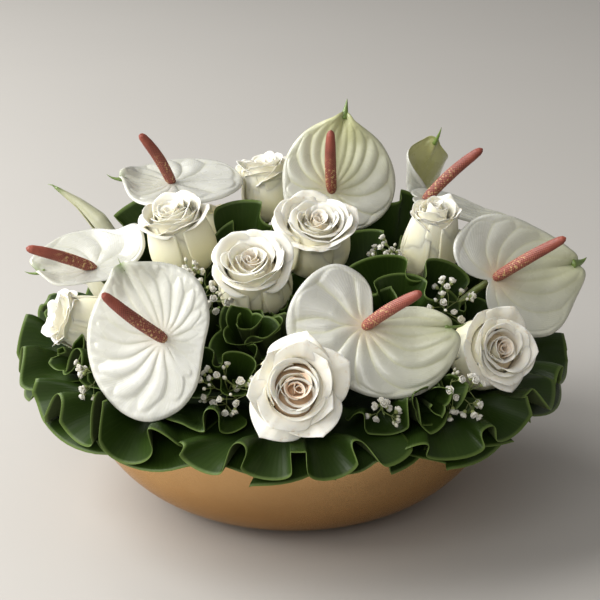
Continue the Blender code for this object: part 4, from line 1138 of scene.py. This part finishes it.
def leaf_edge(leaf, angle):
    """How far a blade reaches from its root along an angle. A collar leaf ends on the collar's circle and
    just beyond the rays that part it from its neighbours."""
    if not leaf.inset:
        return leaf.length * (1 - leaf.round * (angle / math.radians(leaf.spread / 2 + leaf.wing)) ** 6)
    circle_r = leaf.inset + leaf.length
    reach = np.sqrt(circle_r**2 - (leaf.inset * np.sin(angle)) ** 2) - leaf.inset * np.cos(angle)
    beyond = np.abs(angle) - math.pi / COLLAR_COUNT
    ray = leaf.inset * math.sin(math.pi / COLLAR_COUNT) + COLLAR_LAP
    cut = ray / np.sin(np.maximum(beyond, 1e-3))
    return (reach**-CORNER_POWER + cut**-CORNER_POWER) ** (-1 / CORNER_POWER)


def ruffle(leaf, rng):
    """Along the margin from 0 to 1: the phase of the folds, their strength, and the sideways lean in degrees
    that makes the lobes broad, the folds between them narrow and their flanks hang over."""
    s = np.linspace(0, 1, max(20, round(leaf.waves * WAVE_COLUMNS)) + 1)
    folds = leaf.waves * s
    ends = np.minimum(1.0, 0.1 + 5 * np.minimum(s, 1 - s))
    phase = 2 * math.pi * folds + math.radians(leaf.phase) + 0.70 * wobble(1.5 * folds, 0, rng) * ends
    swell = ends * (1 + 0.36 * wobble(2.0 * folds, 1, rng))
    lean = -0.85 * np.sin(phase) + (0.56 + 0.08 * wobble(2.0 * folds, 2, rng)) * np.sin(2 * phase)
    return s, phase, swell, lean * ends * leaf.spread / leaf.waves / (2 * math.pi)


def margin_distance(grid):
    """How far each point lies from the last row, along its column."""
    steps = np.linalg.norm(np.diff(grid, axis=0), axis=2)
    return np.vstack([np.cumsum(steps[::-1], axis=0)[::-1], np.zeros((1, grid.shape[1]))])


def leaf_grid(leaf, rng):
    """Rows of points from the stalk to the ruffled margin, and the place of each column across the blade at
    its margin, in millimetres."""
    half = leaf.spread / 2
    s, phase, swell, lean = ruffle(leaf, rng)
    base = half * (2 * s - 1)
    if leaf.wing:
        side = np.linspace(1, 0, 9)[:-1]
        base = np.concatenate([-half - leaf.wing * side, base, half + leaf.wing * side[::-1]])
        phase, swell, lean = (np.concatenate([0 * side, v, 0 * side]) for v in (phase, swell, lean))
    reach = np.linspace(0, 1, LEAF_ROWS)[:, None] ** 0.75
    grown = smooth(leaf.calm, 1.05, reach) / smooth(leaf.calm, 1.05, 1.0)
    angle = np.radians(base[None, :] + lean[None, :] * grown)
    crest = np.clip((np.cos(phase) + 0.2) / 1.2, 0, 1) * swell
    edge = leaf_edge(leaf, np.radians(base))[None, :] * (1 - CREST_RECESS * crest[None, :] * grown)
    radius = LEAF_ROOT_R + (edge - LEAF_ROOT_R) * reach
    height = leaf.ruffle * (swell * (np.cos(phase) + CREST_LIFT))[None, :] * grown
    x, y = radius * np.cos(angle), radius * np.sin(angle)
    points = bend(np.stack([x, y, height + leaf.tilt * y], -1).reshape(-1, 3), leaf.bends)
    grid = points @ heading_frame(leaf.heading, leaf.normal).T + vec(*leaf.root)
    grid = grid.reshape(*angle.shape, 3)
    stalk = unit((-0.006 * leaf.root[0], -0.006 * leaf.root[1], -1))
    return np.vstack([(grid[0] + stalk * LEAF_STALK)[None], grid]), np.radians(base) * leaf.length


def clear_of_blooms(grid):
    """Presses a leaf out of the roses, towards the side where most of it lies, and behind the shields."""
    points = grid.reshape(-1, 3).copy()
    for _, face, axis, radius, height, *_ in ROSES:
        axis = unit(axis)
        base = vec(*face) - axis * height
        along = (points - base) @ axis
        side = points - base - np.outer(along, axis)
        wide = radius * np.interp(along / height, ROSE_SHARES, ROSE_ROOM) + 1.0
        out = np.linalg.norm(side, axis=1)
        inside = (along > 0) & (along < height + 2) & (out < wide)
        if not inside.any() or inside.all():
            continue
        way = unit(side[~inside].mean(axis=0))
        ahead = side[inside] @ way
        push = np.sqrt(ahead**2 - out[inside] ** 2 + wide[inside] ** 2) - ahead
        points[inside] += np.outer(push, way)
    for flower in ANTHURIUMS:
        axes, eye = facing_frame(flower.normal, flower.tip), vec(*flower.eye)
        local = (points - eye) @ axes
        edge = outline_radius(flower.outline, np.degrees(np.arctan2(local[:, 1], local[:, 0])))
        inside = (np.hypot(local[:, 0], local[:, 1]) < edge + 1) & (np.abs(local[:, 2] - 4) < SHIELD_ROOM + 4)
        local[inside, 2] = -SHIELD_ROOM
        points[inside] = local[inside] @ axes.T + eye
    return points.reshape(grid.shape)


def map_cells(points):
    """The cell of the plan map that each point lies in: round the bowl, and outwards."""
    turns = np.degrees(np.arctan2(points[..., 1], points[..., 0])) / 360 * MAP_TURNS
    steps = np.hypot(points[..., 0], points[..., 1]) / MAP_STEP
    return turns.astype(int) % MAP_TURNS, np.minimum(steps.astype(int), MAP_STEPS - 1)


def widest(values, reach):
    """Each number replaced by the largest one within reach of it."""
    for axis, far in enumerate(reach):
        for _ in range(far):
            rest = [(0, 0)] * values.ndim
            rest[axis] = (1, 1)
            padded = np.pad(values, rest, mode="edge")
            size = values.shape[axis]
            values = np.max([padded.take(range(k, k + size), axis) for k in range(3)], axis=0)
    return values


def even_out(values, rounds):
    """Each number blended with its neighbours along both ways of the grid."""
    for _ in range(rounds):
        padded = np.pad(values, 1, mode="edge")
        sides = padded[:-2, 1:-1] + padded[2:, 1:-1] + padded[1:-1, :-2] + padded[1:-1, 2:]
        values = (values + sides) / 5
    return values


def layer_against(grid, others, side):
    """Moves a leaf clear above (side 1) or below (side -1) other leaves, its stalk left where it is."""
    levels = np.full((MAP_TURNS, MAP_STEPS), -1e3)
    for other in others:
        np.maximum.at(levels, map_cells(other[1:]), side * other[1:, :, 2])
    levels = widest(levels, (1, 1))
    push = np.maximum(0, levels[map_cells(grid)] + LAYER_GAP - side * grid[..., 2])
    push = even_out(widest(push, (1, 2)), 4)
    push[:2] = 0
    out = grid.copy()
    out[..., 2] += side * push
    return out


def add_blade(name, grid, from_edge, foot, flow, node):
    """A leaf blade, thin and pale at its margin. foot is the number that its root has along the blade."""
    along = foot + (1 - foot) * np.linspace(0, 1, len(grid))[:, None]
    edge = 1 - smooth(0.0, 0.30, from_edge)
    half = LEAF_HALF * (1 - 0.60 * smooth(1.2, 0.0, from_edge))
    add_piece(name, [thin_sheet(grid, half, along=along, edge=edge, flow=flow)], "leaf", node)


def add_leaves(leaves, kind, replaces=False, others=(), side=1):
    """Builds leaves pressed out of the blooms, and clear above or below the grids of others. Returns their
    own grids."""
    grids = []
    for seed, leaf in enumerate(leaves, SHAPE_SEEDS[kind]):
        flat, flow = leaf_grid(leaf, np.random.default_rng(seed))
        grid = clear_of_blooms(flat)
        if len(others):
            grid = layer_against(grid, others, side)
        node = f"leaf_{leaf.name}" if replaces else None
        add_blade(f"ruffled_leaf_{leaf.name}", grid, margin_distance(flat), 0.0, flow, node)
        grids.append(grid)
    return grids


def build_leaves():
    """The collar, the rows above and below it that lie clear of it, and the leaves between the blooms."""
    collar = add_leaves(collar_leaves(), "collar", True)
    add_leaves(tier_leaves(), "tier", others=collar)
    add_leaves(under_leaves(), "under", others=collar, side=-1)
    add_leaves(LEAVES, "single", True)
    add_leaves(MORE_LEAVES + inner_leaves(), "more")


# Rosettes, where one ruffled blade is wound up on itself: name, root, heading, length, radius, turns, waves,
# the node it stands for
ROSETTES = [
    ("centre", (-27, -72, 121), (-0.10, -0.50, 0.86), 50, 27, 2.6, 8.0, "leaf_centre_left"),
    ("front_right", (73, -77, 111), (0.24, -0.95, 0.20), 82, 28, 2.5, 8.0, "leaf_front_right"),
    ("centre_right", (60, -48, 119), (0.06, -0.42, 0.90), 52, 30, 1.7, 4.0, None),
    ("left", (-122, -50, 109), (-0.78, -0.45, 0.42), 48, 22, 1.6, 5.0, None),
    ("back", (-20, 122, 108), (-0.1, 0.80, 0.58), 50, 24, 1.7, 5.0, None),
    ("back_right", (112, 60, 108), (0.75, 0.45, 0.48), 48, 22, 1.6, 5.0, None),
]


def build_rosette(name, root, heading, length, radius, turns, waves, node, seed):
    """One ruffled blade wound into nested loops, widest and rolled outwards at its margin."""
    rng = np.random.default_rng(seed)
    s = np.linspace(0, 1, round(turns * 90))[None, :]
    v = np.linspace(0, 1, 18)[:, None] ** 0.8
    phase = 2 * math.pi * waves * s + 0.5 * wobble(9 * s, 0, rng)
    ripple = (0.15 + 0.05 * wobble(8 * s, 1, rng)) * smooth(0.2, 1.0, v) * smooth(0, 0.15, s)
    turn = 2 * math.pi * turns * s - 0.55 * ripple * np.sin(2 * phase) / (0.3 + 0.7 * s) + rng.uniform(0, 6)
    wide = radius * (0.14 + 0.86 * s) * (1 + 1.9 * ripple * np.cos(phase))
    r = 2.5 + (wide - 2.5) * (0.25 * v + 0.75 * v**1.6) + 2.5 * smooth(0.8, 1.0, v) * s
    z = length * v * (1 - 0.30 * s**2) + 2.5 * np.cos(phase) * smooth(0.4, 1.0, v)
    z = z - 2 * smooth(0.85, 1.0, v) * s
    grid = around(r, turn, z) @ upright_frame(heading).T + vec(*root)
    stalk = grid[0] - unit(heading) * 6 + vec(0, 0, -LEAF_STALK + 8)
    grid = clear_of_blooms(np.vstack([stalk[None], grid]))
    add_blade(f"ruffled_rosette_{name}", grid, margin_distance(grid), 0.4, s * radius * 5, node)


# Baby's breath

# name, root, clusters (centre, spread, florets), seed
SPRAYS = [
    ("centre_left", (-60, -50, 108), [((-62, -76, 178), 15, 12), ((-78, -34, 178), 11, 9)], 3),
    ("front_left", (-38, -95, 106), [((-44, -150, 132), 15, 12), ((-136, -112, 132), 13, 8)], 5),
    ("back_left", (-46, 52, 108), [((-62, 48, 176), 10, 8)], 7),
    ("right", (84, -34, 108), [((62, -14, 186), 12, 10), ((112, -66, 170), 13, 8)], 11),
    ("front_right", (50, -87, 107), [((118, -146, 128), 12, 10), ((60, -166, 122), 8, 5)], 13),
]
# Whorls of a floret: petals, reach, lift and tilt
WHORLS = ((6, 1.0, 0.0, 0.35), (5, 0.82, 0.10, 0.85), (3, 0.6, 0.2, 1.25))
FLORET_SHARE = 0.72


def floret_parts(centre, way, size, rng):
    """One double floret: three whorls of small cupped petals that close to a ball, in its calyx."""
    axes = facing_frame(way, rng.normal(size=3))
    t = np.linspace(0, 1, 4)[:, None]
    u = np.linspace(-1, 1, 4)[None, :]
    parts = []
    for whorl, (count, reach, lift, tilt) in enumerate(WHORLS):
        for k in range(count):
            a = 2 * math.pi * (k + 0.5 * whorl) / count + 0.2 * rng.normal()
            wide = 0.62 * reach * np.sin(math.pi * (0.18 + 0.68 * t)) * (1 - 0.15 * u * u)
            lean = tilt + 0.15 * rng.normal() + 0.5 * t
            r = reach * (0.10 + t * np.cos(lean)) - 0.14 * u * u
            z = lift + reach * t * np.sin(lean) + 0.10 * u * u * t
            local = turned(r, u * wide, a, z) * size
            parts.append(thin_sheet(centre + local @ axes.T, 0.14, heart=0.25 * (1 - t)))
    cup = centre + np.outer((-0.55, -0.2, 0.15), way) * size
    return parts + [tube(cup, np.array([0.25, 0.45, 0.35]) * size, 6, heart=1.0)]


def bud_parts(centre, way, size):
    path = centre + np.outer((-1, -0.4, 0.4, 1), way) * size
    return [tube(path, np.array([0.35, 0.8, 0.75, 0.2]) * size, 7, heart=[0.9, 0.5, 0.1, 0.0])]


def build_spray(name, root, clusters, seed):
    """A stem that forks to its clusters, each a branching head of fine twigs that end in florets and buds."""
    rng = np.random.default_rng(seed)
    root = vec(*root)
    fork = root + vec(0, 0, 8)
    florets, twigs = [], [tube([root - vec(0, 0, 16), root, fork], [1.1, 1.0, 0.9], 8, along=0.6)]
    for centre, spread, count in clusters:
        outward = unit(vec(*centre) - fork)
        node = vec(*centre) - outward * spread * 1.1
        stalk = bezier(fork, fork + vec(0, 0, 14), node - outward * spread, node, 14)
        twigs.append(tube(stalk, np.linspace(0.9, 0.6, len(stalk)), 8, along=0.6))
        branches = max(3, count // 2)
        for b in range(branches):
            start = stalk[-1 - int(rng.integers(0, 4))]
            a = 2 * math.pi * (b + 0.3 * rng.random()) / branches
            side = facing_frame(outward, (0.1, 0.2, 1.0)) @ vec(math.cos(a), math.sin(a), 0)
            knot = start + unit(outward * 1.1 + side * 0.9) * spread * rng.uniform(0.7, 1.0)
            branch = bezier(start, start + outward * spread * 0.3, knot - side * 2, knot, 6)
            twigs.append(tube(branch, 0.34, 5, along=0.8))
            for _ in range(int(rng.integers(4, 7))):
                way = unit(outward * 0.7 + side * 0.8 + 0.9 * rng.normal(size=3))
                end = knot + way * spread * rng.uniform(0.35, 0.85)
                twigs.append(tube(bezier(knot, knot + way * 2, end - way * 2, end, 4), 0.22, 5, along=0.9))
                size = rng.uniform(2.3, 3.2)
                tip = end + way * size * 0.4
                if rng.random() < FLORET_SHARE:
                    florets += floret_parts(tip, way, size * 1.15, rng)
                else:
                    florets += bud_parts(tip, way, size * 0.55)
    add_piece(f"babys_breath_florets_{name}", florets, "floret", f"spray_{name}")
    add_piece(f"babys_breath_twigs_{name}", twigs, "stem")


# Floor, light and camera, in metres

FLOOR_R = 9.0
FLOOR_SIDES = 96
FLOOR_DROP = 0.0002
DAYLIGHT = (1.0, 0.995, 0.98)
# name, place, target, size, power, colour: soft daylight from a large window on the left, a weak fill from
# the front, and two smaller windows on the left, one behind and one low
LIGHTS = [
    ("window", (-1.40, -0.20, 1.20), (0.0, 0.05, 0.15), 1.5, 41, DAYLIGHT),
    ("fill", (-0.35, -1.25, 0.90), (0, 0, 0.1), 0.9, 6, (1.0, 0.99, 0.97)),
    ("back_window", (-1.45, 1.45, 1.35), (-0.2, 1.1, 0.0), 1.3, 26, DAYLIGHT),
    ("low_window", (-1.30, -0.55, 0.30), (0, -0.05, 0.05), 0.5, 3.0, DAYLIGHT),
]
SKY_COLOUR = (1.0, 0.98, 0.95, 1)
SKY_STRENGTH = 0.28
CAMERA_PLACE = (0.005, -1.2686, 0.6037)
CAMERA_TARGET = (0.005, 0, 0.142)
CAMERA_SENSOR = 36
CAMERA_LENS = 113.4


def build_floor():
    """A wide, plain, pale table top."""
    mesh = bpy.data.meshes.new("floor")
    points = around(FLOOR_R, circle(FLOOR_SIDES), -FLOOR_DROP)
    mesh.from_pydata([tuple(point) for point in points], [], [tuple(range(FLOOR_SIDES))])
    mesh.materials.append(floor_material())
    add_object("floor", mesh)


def aim(obj, place, target):
    """Puts a light or camera in its place and turns it so that it looks at a point."""
    obj.location = place
    obj.rotation_euler = (Vector(target) - obj.location).to_track_quat("-Z", "Y").to_euler()


def build_lights():
    for name, place, target, size, power, colour in LIGHTS:
        light = bpy.data.lights.new(name, "AREA")
        light.shape = "DISK"
        light.size = size
        light.energy = power
        light.color = colour
        aim(add_object(name, light), place, target)
    world = bpy.data.worlds.new("surround")
    world.use_nodes = True
    sky = world.node_tree.nodes["Background"]
    sky.inputs["Color"].default_value = SKY_COLOUR
    sky.inputs["Strength"].default_value = SKY_STRENGTH
    bpy.context.scene.world = world
    bpy.context.scene.view_settings.view_transform = "Standard"


def build_camera():
    camera = bpy.data.cameras.new("camera")
    camera.sensor_width = CAMERA_SENSOR
    camera.lens = CAMERA_LENS
    obj = add_object("camera", camera)
    aim(obj, CAMERA_PLACE, CAMERA_TARGET)
    bpy.context.scene.camera = obj


build_bowl()
foam_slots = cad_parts["floral_foam"].data.materials
foam_slots.clear()
foam_slots.append(MATERIALS["foam"])
for seed, flower in enumerate(ANTHURIUMS, ANTHURIUM_SEED):
    flower_rng = np.random.default_rng(seed)
    build_spathe(flower, flower_rng)
    build_spadix(flower, flower_rng)
    build_anthurium_stem(flower)
build_bud()
for rose in ROSES:
    build_rose(*rose)
build_leaves()
for seed, rosette in enumerate(ROSETTES, SHAPE_SEEDS["rosette"]):
    build_rosette(*rosette, seed)
for spray in SPRAYS:
    build_spray(*spray)
build_floor()
build_lights()
build_camera()
